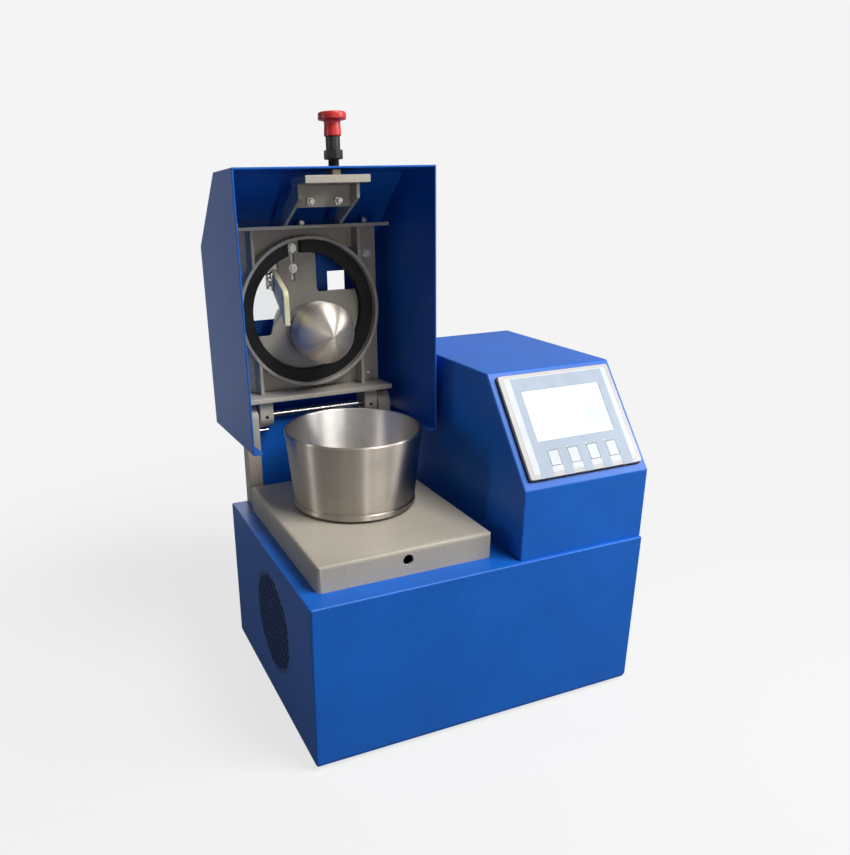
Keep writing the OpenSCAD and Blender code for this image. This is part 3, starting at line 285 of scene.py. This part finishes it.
def moulded(name, colour, low, high, grain_mm=0.9, ior=1.5, drift_by=0.06):
    """Moulded plastic or cured rubber, or printed film: an even colour that drifts slightly, with the
    fine spark-eroded grain of the mould in its gloss."""
    material, tree = new_material(name)
    place = add(tree, "ShaderNodeTexCoord").outputs["Object"]
    grain = add(tree, "ShaderNodeTexNoise", {
        "Vector": place, "Scale": 1000 / grain_mm, "Detail": 2.0}).outputs["Fac"]
    drift = add(tree, "ShaderNodeTexNoise", {
        "Vector": place, "Scale": 1000 / 18, "Detail": 3.0}).outputs["Fac"]
    blend = add(tree, "ShaderNodeMapRange", {
        "Value": drift, "From Min": 0.3, "From Max": 0.7}).outputs[0]
    mix = add(tree, "ShaderNodeMix", {
        "Factor": blend, "A": shade(colour, 1 - drift_by), "B": shade(colour, 1 + drift_by)},
        data_type="RGBA").outputs["Result"]
    rough = add(tree, "ShaderNodeMapRange", {
        "Value": grain, "From Min": 0.3, "From Max": 0.7, "To Min": low, "To Max": high}).outputs[0]
    bump = add(tree, "ShaderNodeBump", {
        "Height": grain, "Strength": 0.3, "Distance": 0.00004}).outputs[0]
    body = add(tree, "ShaderNodeBsdfPrincipled", {
        "Base Color": mix, "Roughness": rough, "Normal": bump, "IOR": ior})
    close(tree, body.outputs[0])
    return material


def clear_pane(name):
    """Extruded acrylic sheet: clear, with faint wiping marks in its gloss."""
    material, tree = new_material(name)
    place = add(tree, "ShaderNodeTexCoord").outputs["Object"]
    wipe = add(tree, "ShaderNodeMapping", {
        "Vector": place, "Rotation": (0.3, 0.2, 0.6), "Scale": (12, 160, 160)}).outputs[0]
    marks = add(tree, "ShaderNodeTexNoise", {
        "Vector": wipe, "Scale": 1.0, "Detail": 4.0}).outputs["Fac"]
    rough = add(tree, "ShaderNodeMapRange", {
        "Value": marks, "From Min": 0.35, "From Max": 0.75, "To Min": 0.02, "To Max": 0.12}).outputs[0]
    pane = add(tree, "ShaderNodeBsdfPrincipled", {
        "Base Color": linear("#f4f7f8"), "Roughness": rough, "IOR": 1.49, "Transmission Weight": 1.0})
    close(tree, pane.outputs[0])
    return material


def lit_display(name, strength):
    """A backlit LCD behind hard-coated film: it glows nearly white, and cooler towards its lower right,
    where less of the room's light falls on it."""
    material, tree = new_material(name)
    place = add(tree, "ShaderNodeTexCoord").outputs["Object"]
    cool = PANEL @ Vector((*DISPLAY_COOL, PANEL_FACE))
    off = add(tree, "ShaderNodeVectorMath", {0: place, 1: cool}, operation="DISTANCE").outputs["Value"]
    veil = add(tree, "ShaderNodeTexNoise", {
        "Vector": place, "Scale": 1000 / 30, "Detail": 2.0}).outputs["Fac"]
    reach = add(tree, "ShaderNodeMath", {0: veil, 1: 0.02, 2: off},
                operation="MULTIPLY_ADD").outputs[0]
    blend = add(tree, "ShaderNodeMapRange", {"Value": reach, "From Min": 0.012, "From Max": 0.05},
                interpolation_type="SMOOTHSTEP").outputs[0]
    glow = add(tree, "ShaderNodeMix", {
        "Factor": blend, "A": linear("#e2ecf7"), "B": linear("#fbfdff")},
        data_type="RGBA").outputs["Result"]
    lit = add(tree, "ShaderNodeBsdfPrincipled", {
        "Base Color": linear("#5b6670"), "Roughness": 0.18, "IOR": 1.5, "Emission Color": glow,
        "Emission Strength": strength})
    close(tree, lit.outputs[0])
    return material


def floor_paper(name, colour):
    """Seamless paper: pale and matt round the grinder, where it takes the shadow, and fading into the
    backdrop's own brightness further out. Reflections and bounced light show it dimmer, as a table
    that little light falls on."""
    material, tree = new_material(name)
    place = add(tree, "ShaderNodeTexCoord").outputs["Object"]
    far = add(tree, "ShaderNodeVectorMath", {0: place}, operation="LENGTH").outputs["Value"]
    fade = add(tree, "ShaderNodeMapRange", {
        "Value": far, "From Min": 0.3, "From Max": 1.0, "To Min": 0.82},
        interpolation_type="SMOOTHSTEP").outputs[0]
    dim = add(tree, "ShaderNodeMapRange", {
        "Value": far, "From Min": 0.5, "From Max": 1.3, "To Min": 0.12, "To Max": 0.5}).outputs[0]
    path = add(tree, "ShaderNodeLightPath").outputs
    tone = add(tree, "ShaderNodeMix", {
        "Factor": path["Is Camera Ray"], "A": shade(colour, 0.18), "B": colour},
        data_type="RGBA").outputs["Result"]
    paper = add(tree, "ShaderNodeBsdfDiffuse", {"Color": tone}).outputs[0]
    glow = add(tree, "ShaderNodeEmission", {"Color": colour, "Strength": 1.0}).outputs[0]
    seen = add(tree, "ShaderNodeMath", {0: path["Is Glossy Ray"], 1: dim},
               operation="MULTIPLY").outputs[0]
    for kind in ("Is Camera Ray", "Is Transmission Ray"):
        seen = add(tree, "ShaderNodeMath", {0: seen, 1: path[kind]}, operation="MAXIMUM").outputs[0]
    share = add(tree, "ShaderNodeMath", {0: fade, 1: seen}, operation="MULTIPLY").outputs[0]
    mix = add(tree, "ShaderNodeMixShader", {"Fac": share, 1: paper, 2: glow})
    close(tree, mix.outputs[0])
    return material


FINISHES = {}


def put_on(obj, material):
    """Gives an object one material."""
    obj.data.materials.clear()
    obj.data.materials.append(material)


def place_piece(bm, name, body, slot, frame_matrix=None, replaces=(), smooth=35.0):
    """Turns a bmesh into a finished piece in the row frame that rides on a body. Wide flat faces stay
    flat in the shading, so that no light bends along the inner lines of their outline."""
    if frame_matrix is not None:
        bmesh.ops.transform(bm, matrix=frame_matrix, verts=bm.verts[:])
    mesh = bpy.data.meshes.new(name)
    for face in bm.faces:
        face.smooth = face.calc_area() < WIDE_FACE
    bm.to_mesh(mesh)
    bm.free()
    mesh.set_sharp_from_angle(angle=math.radians(smooth))
    piece = bpy.data.objects.new(name, mesh)
    bpy.context.scene.collection.objects.link(piece)
    put_on(piece, FINISHES[slot])
    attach(piece, body)
    if replaces:
        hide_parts(*replaces)
    return piece


def settle_normals(piece):
    """Keeps wide flat faces flat in the shading beside their rounded edges."""
    modifier = piece.modifiers.new("face_weighted", "WEIGHTED_NORMAL")
    modifier.mode = "FACE_AREA"
    modifier.weight = 90
    modifier.keep_sharp = True
    return piece


def merged_copy(node):
    """A CAD node's solid as a bmesh with joined vertices and whole flat faces."""
    bm = bmesh.new()
    bm.from_mesh(frame["nodes"][node].data)
    bmesh.ops.remove_doubles(bm, verts=bm.verts[:], dist=1e-6)
    bmesh.ops.dissolve_limit(bm, angle_limit=math.radians(0.3), use_dissolve_boundaries=False,
                             verts=bm.verts[:], edges=bm.edges[:])
    return bm


def break_edges(bm, width, segments=2, least=35.0, where=None):
    """Rounds the outer edges sharper than an angle, all of them or those that a test picks."""
    edges = [e for e in bm.edges if len(e.link_faces) == 2
             and e.calc_face_angle_signed(0.0) > math.radians(least)
             and (where is None or where(*[v.co for v in e.verts]))]
    bmesh.ops.bevel(bm, geom=edges, offset=width * MM, offset_type="OFFSET", segments=segments,
                    profile=0.5, affect="EDGES", clamp_overlap=False, material=-1, loop_slide=True)


def lathe(points, steps):
    """A profile of (radius, height) points in millimetres, spun round Z."""
    bm = bmesh.new()
    verts = [bm.verts.new((r, 0, z)) for r, z in points]
    edges = [bm.edges.new(pair) for pair in zip(verts, verts[1:])]
    bmesh.ops.spin(bm, geom=verts + edges, cent=(0, 0, 0), axis=(0, 0, 1), angle=2 * math.pi,
                   steps=steps, use_merge=True)
    bmesh.ops.remove_doubles(bm, verts=bm.verts[:], dist=1e-4)
    bmesh.ops.recalc_face_normals(bm, faces=bm.faces[:])
    return bm


def arc(cx, cy, r, start, end, n=6):
    """Points of an arc, with angles in degrees."""
    return [(cx + r * math.cos(math.radians(start + (end - start) * i / n)),
             cy + r * math.sin(math.radians(start + (end - start) * i / n))) for i in range(n + 1)]


def raise_up(bm, height):
    """Extrudes all the faces upwards into a closed solid."""
    grown = bmesh.ops.extrude_face_region(bm, geom=bm.faces[:])["geom"]
    bmesh.ops.translate(bm, vec=(0, 0, height),
                        verts=[v for v in grown if isinstance(v, bmesh.types.BMVert)])
    bmesh.ops.recalc_face_normals(bm, faces=bm.faces[:])


class GrinderColours(bpy.types.PropertyGroup):
    """Colours of the grinder's finishes."""

    housing: bpy.props.FloatVectorProperty(
        name="Housing", description="Powder coat of the base, hood and control box", subtype="COLOR",
        size=4, min=0, max=1, default=linear("#1464c6"))
    frame: bpy.props.FloatVectorProperty(
        name="Frame", description="Powder coat of the tray, hinge posts and lid frame",
        subtype="COLOR", size=4, min=0, max=1, default=linear("#b4ad9f"))
    knob: bpy.props.FloatVectorProperty(
        name="Knob", description="Moulded pull knob and mains rocker", subtype="COLOR", size=4,
        min=0, max=1, default=linear("#cf2a2a"))
    scraper: bpy.props.FloatVectorProperty(
        name="Scraper", description="Machined plastic scraper blade", subtype="COLOR", size=4,
        min=0, max=1, default=linear("#d9d3a8"))
    steel: bpy.props.FloatVectorProperty(
        name="Steel", description="Turned stainless steel of the bowl and pestle", subtype="COLOR",
        size=4, min=0, max=1, default=linear("#b4aca2"))
    backdrop: bpy.props.FloatVectorProperty(
        name="Backdrop", description="Paper under and behind the grinder", subtype="COLOR", size=4,
        min=0, max=1, default=linear("#f4f4f4"))


class GrinderSizes(bpy.types.PropertyGroup):
    """Edge and stage values of the grinder's looks."""

    fold: bpy.props.FloatProperty(
        name="Fold radius", description="Radius of the folded edges of the base and control box",
        default=1.9 * MM, min=0.5 * MM, max=2.0 * MM, unit="LENGTH")
    edge: bpy.props.FloatProperty(
        name="Cut edge", description="Rounding of laser-cut plate edges under the coating",
        default=0.5 * MM, min=0.1 * MM, max=0.9 * MM, unit="LENGTH")
    glow: bpy.props.FloatProperty(
        name="Display glow", description="Brightness of the backlit display", default=0.95,
        min=0, max=4)
    key_power: bpy.props.FloatProperty(
        name="Key light", description="Power of the large softbox", default=42.0, min=0, max=500,
        unit="POWER")


class GRINDER_OT_camera(bpy.types.Operator):
    """Sets the camera where the photograph was taken"""

    bl_idname = "grinder.camera"
    bl_label = "Place the camera"

    def execute(self, context):
        data = bpy.data.cameras.new("photograph")
        data.sensor_width = 36.0
        data.lens = CAMERA_LENS
        data.shift_x, data.shift_y = CAMERA_SHIFT
        data.clip_start, data.clip_end = 0.05, 100.0
        camera = bpy.data.objects.new("photograph", data)
        camera.location = CAMERA_AT
        camera.rotation_euler = Euler([math.radians(turn) for turn in CAMERA_TURN], "XYZ")
        context.scene.collection.objects.link(camera)
        context.scene.camera = camera
        return {"FINISHED"}


class GRINDER_OT_finishes(bpy.types.Operator):
    """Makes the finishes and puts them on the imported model's nodes"""

    bl_idname = "grinder.finishes"
    bl_label = "Make the finishes"

    def execute(self, context):
        colours = context.scene.grinder_colours
        blue, steel = tuple(colours.housing), tuple(colours.steel)
        bowl_at = WHOLE @ Vector((MILL_X, BOWL_Y, BOWL_Z))
        FINISHES.update({
            "blue_powder": powder_coat("powder_coat_blue", blue),
            "beige_powder": powder_coat("powder_coat_grey_beige", tuple(colours.frame), 0.28, 0.4),
            "grille_navy": powder_coat("powder_coat_grille", shade(blue, 0.45)),
            "turned_steel": turned_metal("turned_stainless_steel", steel, bowl_at, (0, 0, 1), 0.25),
            "bright_steel": plated_metal("ground_steel", linear("#c9c8c6"), 0.12, 0.22),
            "zinc": plated_metal("zinc_plated_steel", linear("#c4c3bd"), 0.22, 0.38),
            "black_steel": plated_metal("blackened_steel", linear("#3f3c3e"), 0.38, 0.52),
            "olive_zinc": plated_metal("passivated_zinc", linear("#857f6c"), 0.35, 0.5),
            "aluminium": plated_metal("cast_aluminium", linear("#a9aaac"), 0.38, 0.55,
                                      grain_mm=1.6, depth=0.00012, grain_rough=0.7),
            "black_rubber": moulded("nitrile_rubber", linear("#0c0c0d"), 0.55, 0.7, ior=1.4),
            "red_plastic": moulded("polyamide_red", tuple(colours.knob), 0.3, 0.42),
            "cream_plastic": moulded("machined_polyamide_cream", tuple(colours.scraper), 0.4, 0.55,
                                     drift_by=0.09),
            "black_plastic": moulded("polyamide_black", linear("#202124"), 0.4, 0.55),
            "grey_plastic": moulded("polycarbonate_grey", linear("#4a4c50"), 0.4, 0.55),
            "panel_white": moulded("polycarbonate_silver", linear("#b9b6b4"), 0.3, 0.42),
            "key_foil": moulded("polyester_film_white", linear("#c7cdd1"), 0.36, 0.5, grain_mm=1.4),
            "display_glass": lit_display("backlit_display", context.scene.grinder_sizes.glow),
            "window_pane": clear_pane("clear_acrylic"),
        })
        for node, obj in frame["nodes"].items():
            put_on(obj, FINISHES[SLOT_OF[node]])
        lid_axis = (LID.to_3x3() @ Vector((0, 0, 1))).normalized()
        pestle_at = LID @ Vector((PESTLE_X, -PESTLE_U, 0))
        put_on(frame["nodes"]["pestle"], turned_metal(
            "turned_stainless_pestle", shade(steel, 1.12), pestle_at, lid_axis, tangent="Y"))
        return {"FINISHED"}


class GRINDER_OT_housings(bpy.types.Operator):
    """Folds the sheet housings: the base, the control box, the hood and the tray"""

    bl_idname = "grinder.housings"
    bl_label = "Fold the housings"

    def execute(self, context):
        fold = context.scene.grinder_sizes.fold / MM
        edge = context.scene.grinder_sizes.edge / MM
        slack, lip = 0.02 * MM, 3.0 * MM
        low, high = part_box("base_housing")

        def rim_of_base(a, b):
            at_edge = all(min(p.x - low.x, high.x - p.x, p.y - low.y, high.y - p.y) < lip
                          for p in (a, b))
            level = any(abs(a.z - z) < slack and abs(b.z - z) < slack for z in (low.z, high.z))
            return at_edge and level

        bm = merged_copy("base_housing")
        break_edges(bm, fold, segments=4, where=rim_of_base)
        settle_normals(place_piece(bm, "base_cover", "housing", "blue_powder",
                                   replaces=("base_housing",)))
        for node, name, body, radius in (("control_box", "control_box_cover", "housing", fold),
                                         ("hood", "hood_cover", "lid", HOOD_FOLD)):
            bm = merged_copy(node)
            first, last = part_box(node)

            def on_side(a, b, planes=(first.x, last.x)):
                return any(abs(a.x - x) < slack and abs(b.x - x) < slack for x in planes)

            break_edges(bm, edge, least=50.0, where=lambda a, b: not on_side(a, b))
            break_edges(bm, radius, segments=4, least=50.0, where=on_side)
            # the two roundings cross in the hood's lowest corners: their ends are joined there
            for x in (first.x, last.x) if node == "hood" else ():
                ends = [v for v in bm.verts
                        if abs(v.co.x - x) < slack and v.co.z < first.z + 1.5 * MM]
                middle = sum((v.co for v in ends), Vector()) / len(ends)
                bmesh.ops.pointmerge(bm, verts=ends, merge_co=middle)
            settle_normals(place_piece(bm, name, body, "blue_powder", replaces=(node,)))
        settle_normals(place_piece(merged_copy("tray"), "tray_cover", "housing", "beige_powder",
                                   replaces=("tray",)))
        return {"FINISHED"}


# CAD nodes whose solids get rounded edges: piece name, rounding as a share of the cut edge's
EDGED = {
    "hinge_posts": ("hinge_post_castings", 1.4), "hinge_knuckles": ("hinge_knuckle_clamps", 1.2),
    "rear_guard": ("rear_guard_sheet", 0.8), "lid_plate": ("lid_back_plate", 1.0),
    "lower_plate": ("lid_lower_plate", 1.2), "cross_plate": ("lid_cross_plate", 1.2),
    "ring_ribs": ("lid_ribs", 1.0), "guard_ring": ("lid_guard_ring", 1.4),
    "ring_gasket": ("lid_ring_gasket", 1.0), "latch_bracket": ("latch_gussets", 1.0),
    "latch_bar": ("latch_cross_bar", 1.2), "lock_nut": ("plunger_lock_nut", 0.8),
    "lid_bolts": ("lid_screws_and_spacers", 0.6), "latch_screws": ("latch_hex_screws", 0.7),
    "scraper_blade": ("scraper_blade_body", 1.2),
    "scraper_carrier": ("scraper_carrier_bracket", 0.6),
    "scraper_screws": ("scraper_socket_screws", 0.5), "panel_bezel": ("panel_front_frame", 1.4),
    "panel_gasket": ("panel_seal", 0.6), "switch_frame": ("switch_bezel", 1.0),
    "mains_inlet": ("inlet_body", 0.8), "switch_rocker": ("switch_rocker_cap", 0.8),
    "base_plate": ("base_bottom_plate", 0.8),
}


class GRINDER_OT_edges(bpy.types.Operator):
    """Rounds the edges of cut plates, castings and fasteners"""

    bl_idname = "grinder.edges"
    bl_label = "Round the cut edges"

    def execute(self, context):
        edge = context.scene.grinder_sizes.edge / MM
        for node, (name, share) in EDGED.items():
            bm = merged_copy(node)
            break_edges(bm, edge * share)
            settle_normals(place_piece(bm, name, BODY_OF[node], SLOT_OF[node], replaces=(node,)))
        return {"FINISHED"}


class GRINDER_OT_plunger(bpy.types.Operator):
    """Turns the index plunger's threaded barrel and moulds its knob"""

    bl_idname = "grinder.plunger"
    bl_label = "Make the index plunger"

    def execute(self, context):
        # radius and height above the knob's foot: down the bore, then up the skirt, waist and rim
        knob = [(0, 16.2), (4.0, 16.2), (4.0, 13.0), (4.3, 0.2), (7.7, 0.0), (7.9, 0.0), (8.6, 0.0)]
        knob += arc(8.3, 0.6, 0.6, -60, 0, 3)
        knob += [(8.85, 3.0), (8.6, 8.0), (8.3, 11.2)]
        knob += arc(11.0, 12.2, 2.7, 200, 108)
        knob += [(12.6, 15.0)]
        knob += arc(13.0, 16.5, 1.5, -70, 0, 4)
        knob += [(14.5, 19.0)]
        knob += arc(12.1, 20.2, 2.4, 8, 88)
        knob += [(10.5, 22.8), (8.6, 22.75), (7.9, 22.35), (4.0, 22.25), (0, 22.25)]
        place_piece(lathe(knob, 96), "plunger_pull_knob", "plunger", "red_plastic",
                    PLUNGER @ Matrix.Translation((0, 0, KNOB_FOOT)), replaces=("plunger_knob",),
                    smooth=40)

        start, hexagon, sleeve, end = BAR_U, HOOD_FRONT + 7, HOOD_FRONT + 16, HOOD_FRONT + 29.3
        root = THREAD_R - THREAD_DEPTH
        barrel = [(4.05, start + 0.6), (4.5, start), (5.3, start)]
        height = start + 0.6
        while height < hexagon - 1.6:
            barrel += [(root, height), (THREAD_R, height + 0.5), (root, height + 1.0)]
            height += THREAD_PITCH
        barrel += [(5.2, hexagon - 0.6), (5.9, hexagon), (6.4, hexagon + 4), (6.4, sleeve),
                   (7.2, sleeve), (7.4, sleeve + 0.4), (7.4, end - 1.0), (7.0, end - 0.2),
                   (4.6, end), (4.05, end - 0.5)]
        place_piece(lathe(barrel + [barrel[0]], 64), "plunger_threaded_barrel", "lid", "black_steel",
                    PLUNGER, smooth=25)

        bm = bmesh.new()
        bmesh.ops.create_circle(bm, cap_ends=True, radius=HEXAGON_W / math.sqrt(3), segments=6,
                                matrix=Matrix.Translation((0, 0, hexagon)))
        raise_up(bm, HEXAGON_H)
        bmesh.ops.bevel(bm, geom=bm.edges[:], offset=0.9, offset_type="OFFSET", segments=2,
                        profile=0.5, affect="EDGES", clamp_overlap=True, material=-1)
        settle_normals(place_piece(bm, "plunger_hexagon", "lid", "black_steel", PLUNGER,
                                   replaces=("plunger_barrel",)))
        return {"FINISHED"}


def film(name, outline, windows, height, thick):
    """A thin film on the panel with rectangular windows, each given by its lowest and highest corner in
    millimetres. Beside a window that reaches past the outline, the film reaches as far as it does."""
    xs = sorted({x for box in (outline, *windows) for x in (box[0], box[2])})
    ys = sorted({y for box in (outline, *windows) for y in (box[1], box[3])})
    bm = bmesh.new()
    bmesh.ops.create_grid(bm, x_segments=1, y_segments=1, size=0.5)
    bmesh.ops.scale(bm, vec=(xs[-1] - xs[0], ys[-1] - ys[0], 1), verts=bm.verts[:])
    bmesh.ops.translate(bm, vec=((xs[0] + xs[-1]) / 2, (ys[0] + ys[-1]) / 2, height),
                        verts=bm.verts[:])
    cuts = [(x, (1, 0, 0)) for x in xs[1:-1]] + [(y, (0, 1, 0)) for y in ys[1:-1]]
    for at, way in cuts:
        bmesh.ops.bisect_plane(bm, geom=bm.verts[:] + bm.edges[:] + bm.faces[:], dist=1e-4,
                               plane_co=Vector(way) * at, plane_no=way)
    middles = [(face, face.calc_center_median()) for face in bm.faces]
    open_faces = [face for face, c in middles
                  if any(w[0] < c.x < w[2] and w[1] < c.y < w[3] for w in windows)]
    bmesh.ops.delete(bm, geom=open_faces, context="FACES")
    raise_up(bm, thick)
    return settle_normals(place_piece(bm, name, "housing", "key_foil", PANEL))


class GRINDER_OT_panel(bpy.types.Operator):
    """Lays the operator panel's white film, its grey-blue print and the key lamps"""

    bl_idname = "grinder.panel"
    bl_label = "Dress the operator panel"

    def execute(self, context):
        (left, low), (wide, high) = DISPLAY_LOW, DISPLAY_SIZE
        display = (left, low, left + wide, low + high)
        wells = [(x - KEY_W / 2 - KEY_WELL_GAP, KEY_LOW - KEY_WELL_GAP,
                  x + KEY_W / 2 + KEY_WELL_GAP, KEY_LOW + KEY_H + KEY_WELL_GAP) for x in KEYS]
        outline = (FILM_SIDE, FILM_LOW, PANEL_W - FILM_SIDE, PANEL_H - FILM_TOP)
        film("panel_white_film", outline, [display, *wells], PANEL_FACE, FILM_T)
        # the white tags of the keys run to the panel's lower edge, and the print between them too
        tags = [(x0, 0, x1, y1) for x0, y0, x1, y1 in wells]
        field = film("panel_printed_field", PRINT_FIELD, [display, *tags], PANEL_FACE + FILM_T,
                     PRINT_T)
        put_on(field, moulded("polyester_film_blue_grey", linear("#98a7b8"), 0.36, 0.5,
                              grain_mm=1.4))
        bm = bmesh.new()
        for x in KEYS:
            lamp_at = Matrix.Translation((x - KEY_W / 2, LAMP_UP, PANEL_FACE + LAMP_H))
            bmesh.ops.create_cone(bm, cap_ends=True, segments=20, radius1=LAMP_R,
                                  radius2=0.8 * LAMP_R, depth=LAMP_H, matrix=lamp_at)
        lamps = place_piece(bm, "panel_key_lamps", "housing", "key_foil", PANEL)
        put_on(lamps, moulded("lamp_lens", linear("#dfe9e4"), 0.2, 0.3))
        return {"FINISHED"}


def pan_head(bm, at, turn, radius=3.6, height=2.2):
    """A pan-head screw with a sunk socket in its top, its axis along the turned Z."""
    profile = [(0, height), (radius * 0.35, height), (radius * 0.75, height * 0.86),
               (radius * 0.95, height * 0.5), (radius, 0.0), (0, 0)]
    part = lathe(profile, 32)
    top = [f for f in part.faces if f.calc_center_median().z > height * 0.9]
    bmesh.ops.inset_region(part, faces=top, thickness=0.35, depth=-0.5)
    bmesh.ops.transform(part, matrix=Matrix.Translation(at) @ turn, verts=part.verts[:])
    mesh = bpy.data.meshes.new("pan_head")
    part.to_mesh(mesh)
    part.free()
    bm.from_mesh(mesh)
    bpy.data.meshes.remove(mesh)


class GRINDER_OT_fasteners(bpy.types.Operator):
    """Sets the small cover screws that hold the housings together at the back"""

    bl_idname = "grinder.fasteners"
    bl_label = "Set the cover screws"

    def execute(self, context):
        rear = Matrix.Rotation(-math.pi / 2, 4, "X")
        back = BASE_D / 2
        bm = bmesh.new()
        for x, z in BASE_SCREWS + BOX_SCREWS:
            pan_head(bm, (x, back, z), rear)
        for x, z in INLET_SCREWS:
            pan_head(bm, (x, back + INLET_FACE, z), rear, 2.6, 1.4)
        place_piece(bm, "cover_screws", "housing", "zinc", WHOLE)
        return {"FINISHED"}


class GRINDER_OT_stage(bpy.types.Operator):
    """Lays the pale paper and hangs the lights"""

    bl_idname = "grinder.stage"
    bl_label = "Set the stage"

    def execute(self, context):
        scene = context.scene
        backdrop = tuple(scene.grinder_colours.backdrop)
        bm = bmesh.new()
        bmesh.ops.create_circle(bm, cap_ends=True, radius=PAPER_R, segments=96)
        mesh = bpy.data.meshes.new("paper")
        bm.to_mesh(mesh)
        bm.free()
        floor = bpy.data.objects.new("paper", mesh)
        scene.collection.objects.link(floor)
        put_on(floor, floor_paper("seamless_paper", backdrop))

        world = bpy.data.worlds.new("studio")
        scene.world = world
        world.use_nodes = True
        tree = world.node_tree
        tree.nodes.clear()
        # seen directly the room is as bright as the paper, reflections show it brightest on one side,
        # and only a little of it fills the shade
        way = add(tree, "ShaderNodeTexCoord").outputs["Generated"]
        toward = add(tree, "ShaderNodeVectorMath", {0: way, 1: ROOM_WAY},
                     operation="DOT_PRODUCT").outputs["Value"]
        room = add(tree, "ShaderNodeMapRange", {
            "Value": toward, "From Min": -0.3, "From Max": 0.95, "To Min": 0.02, "To Max": 1.0},
            interpolation_type="SMOOTHSTEP").outputs[0]
        path = add(tree, "ShaderNodeLightPath").outputs
        grey = add(tree, "ShaderNodeMath", {0: room, 1: 0.72, 2: 0.28},
                   operation="MULTIPLY_ADD").outputs[0]
        mirrored = add(tree, "ShaderNodeMath", {0: path["Is Glossy Ray"], 1: grey},
                       operation="MULTIPLY").outputs[0]
        fill = add(tree, "ShaderNodeMath", {0: room, 1: 0.07}, operation="MULTIPLY").outputs[0]
        level = add(tree, "ShaderNodeMath", {0: mirrored, 1: fill}, operation="MAXIMUM").outputs[0]
        for kind in ("Is Camera Ray", "Is Transmission Ray"):
            level = add(tree, "ShaderNodeMath", {0: level, 1: path[kind]},
                        operation="MAXIMUM").outputs[0]
        light = add(tree, "ShaderNodeBackground", {"Color": backdrop, "Strength": level})
        add(tree, "ShaderNodeOutputWorld", {"Surface": light.outputs[0]})

        for name, at, wide, high, share in LAMPS:
            data = bpy.data.lights.new(name, "AREA")
            data.shape = "RECTANGLE"
            data.size, data.size_y = wide, high
            data.energy = scene.grinder_sizes.key_power * share
            lamp = bpy.data.objects.new(name, data)
            lamp.location = at
            lamp.rotation_euler = (LAMPS_AT - Vector(at)).to_track_quat("-Z", "Y").to_euler()
            scene.collection.objects.link(lamp)
        scene.view_settings.view_transform = "Standard"
        return {"FINISHED"}


class GRINDER_PT_panel(bpy.types.Panel):
    """Lists the grinder's steps and values"""

    bl_idname = "GRINDER_PT_panel"
    bl_label = "Mortar Grinder"
    bl_space_type = "VIEW_3D"
    bl_region_type = "UI"
    bl_category = "Grinder"

    def draw(self, context):
        for group in (context.scene.grinder_colours, context.scene.grinder_sizes):
            for key in group.__annotations__:
                self.layout.prop(group, key)
        for step in STEPS:
            self.layout.operator(step.bl_idname)


STEPS = (GRINDER_OT_camera, GRINDER_OT_finishes, GRINDER_OT_housings, GRINDER_OT_edges,
         GRINDER_OT_plunger, GRINDER_OT_panel, GRINDER_OT_fasteners, GRINDER_OT_stage)
CLASSES = (GrinderColours, GrinderSizes, *STEPS, GRINDER_PT_panel)


def register():
    for cls in CLASSES:
        bpy.utils.register_class(cls)
    bpy.types.Scene.grinder_colours = bpy.props.PointerProperty(type=GrinderColours)
    bpy.types.Scene.grinder_sizes = bpy.props.PointerProperty(type=GrinderSizes)


def unregister():
    del bpy.types.Scene.grinder_sizes
    del bpy.types.Scene.grinder_colours
    for cls in reversed(CLASSES):
        bpy.utils.unregister_class(cls)


def main():
    for obj in [o for o in bpy.data.objects if o.name in ("Cube", "Light", "Camera")]:
        bpy.data.objects.remove(obj)
    register()
    for step in STEPS:
        group, name = step.bl_idname.split(".")
        getattr(getattr(bpy.ops, group), name)()


if __name__ == "__main__":
    main()
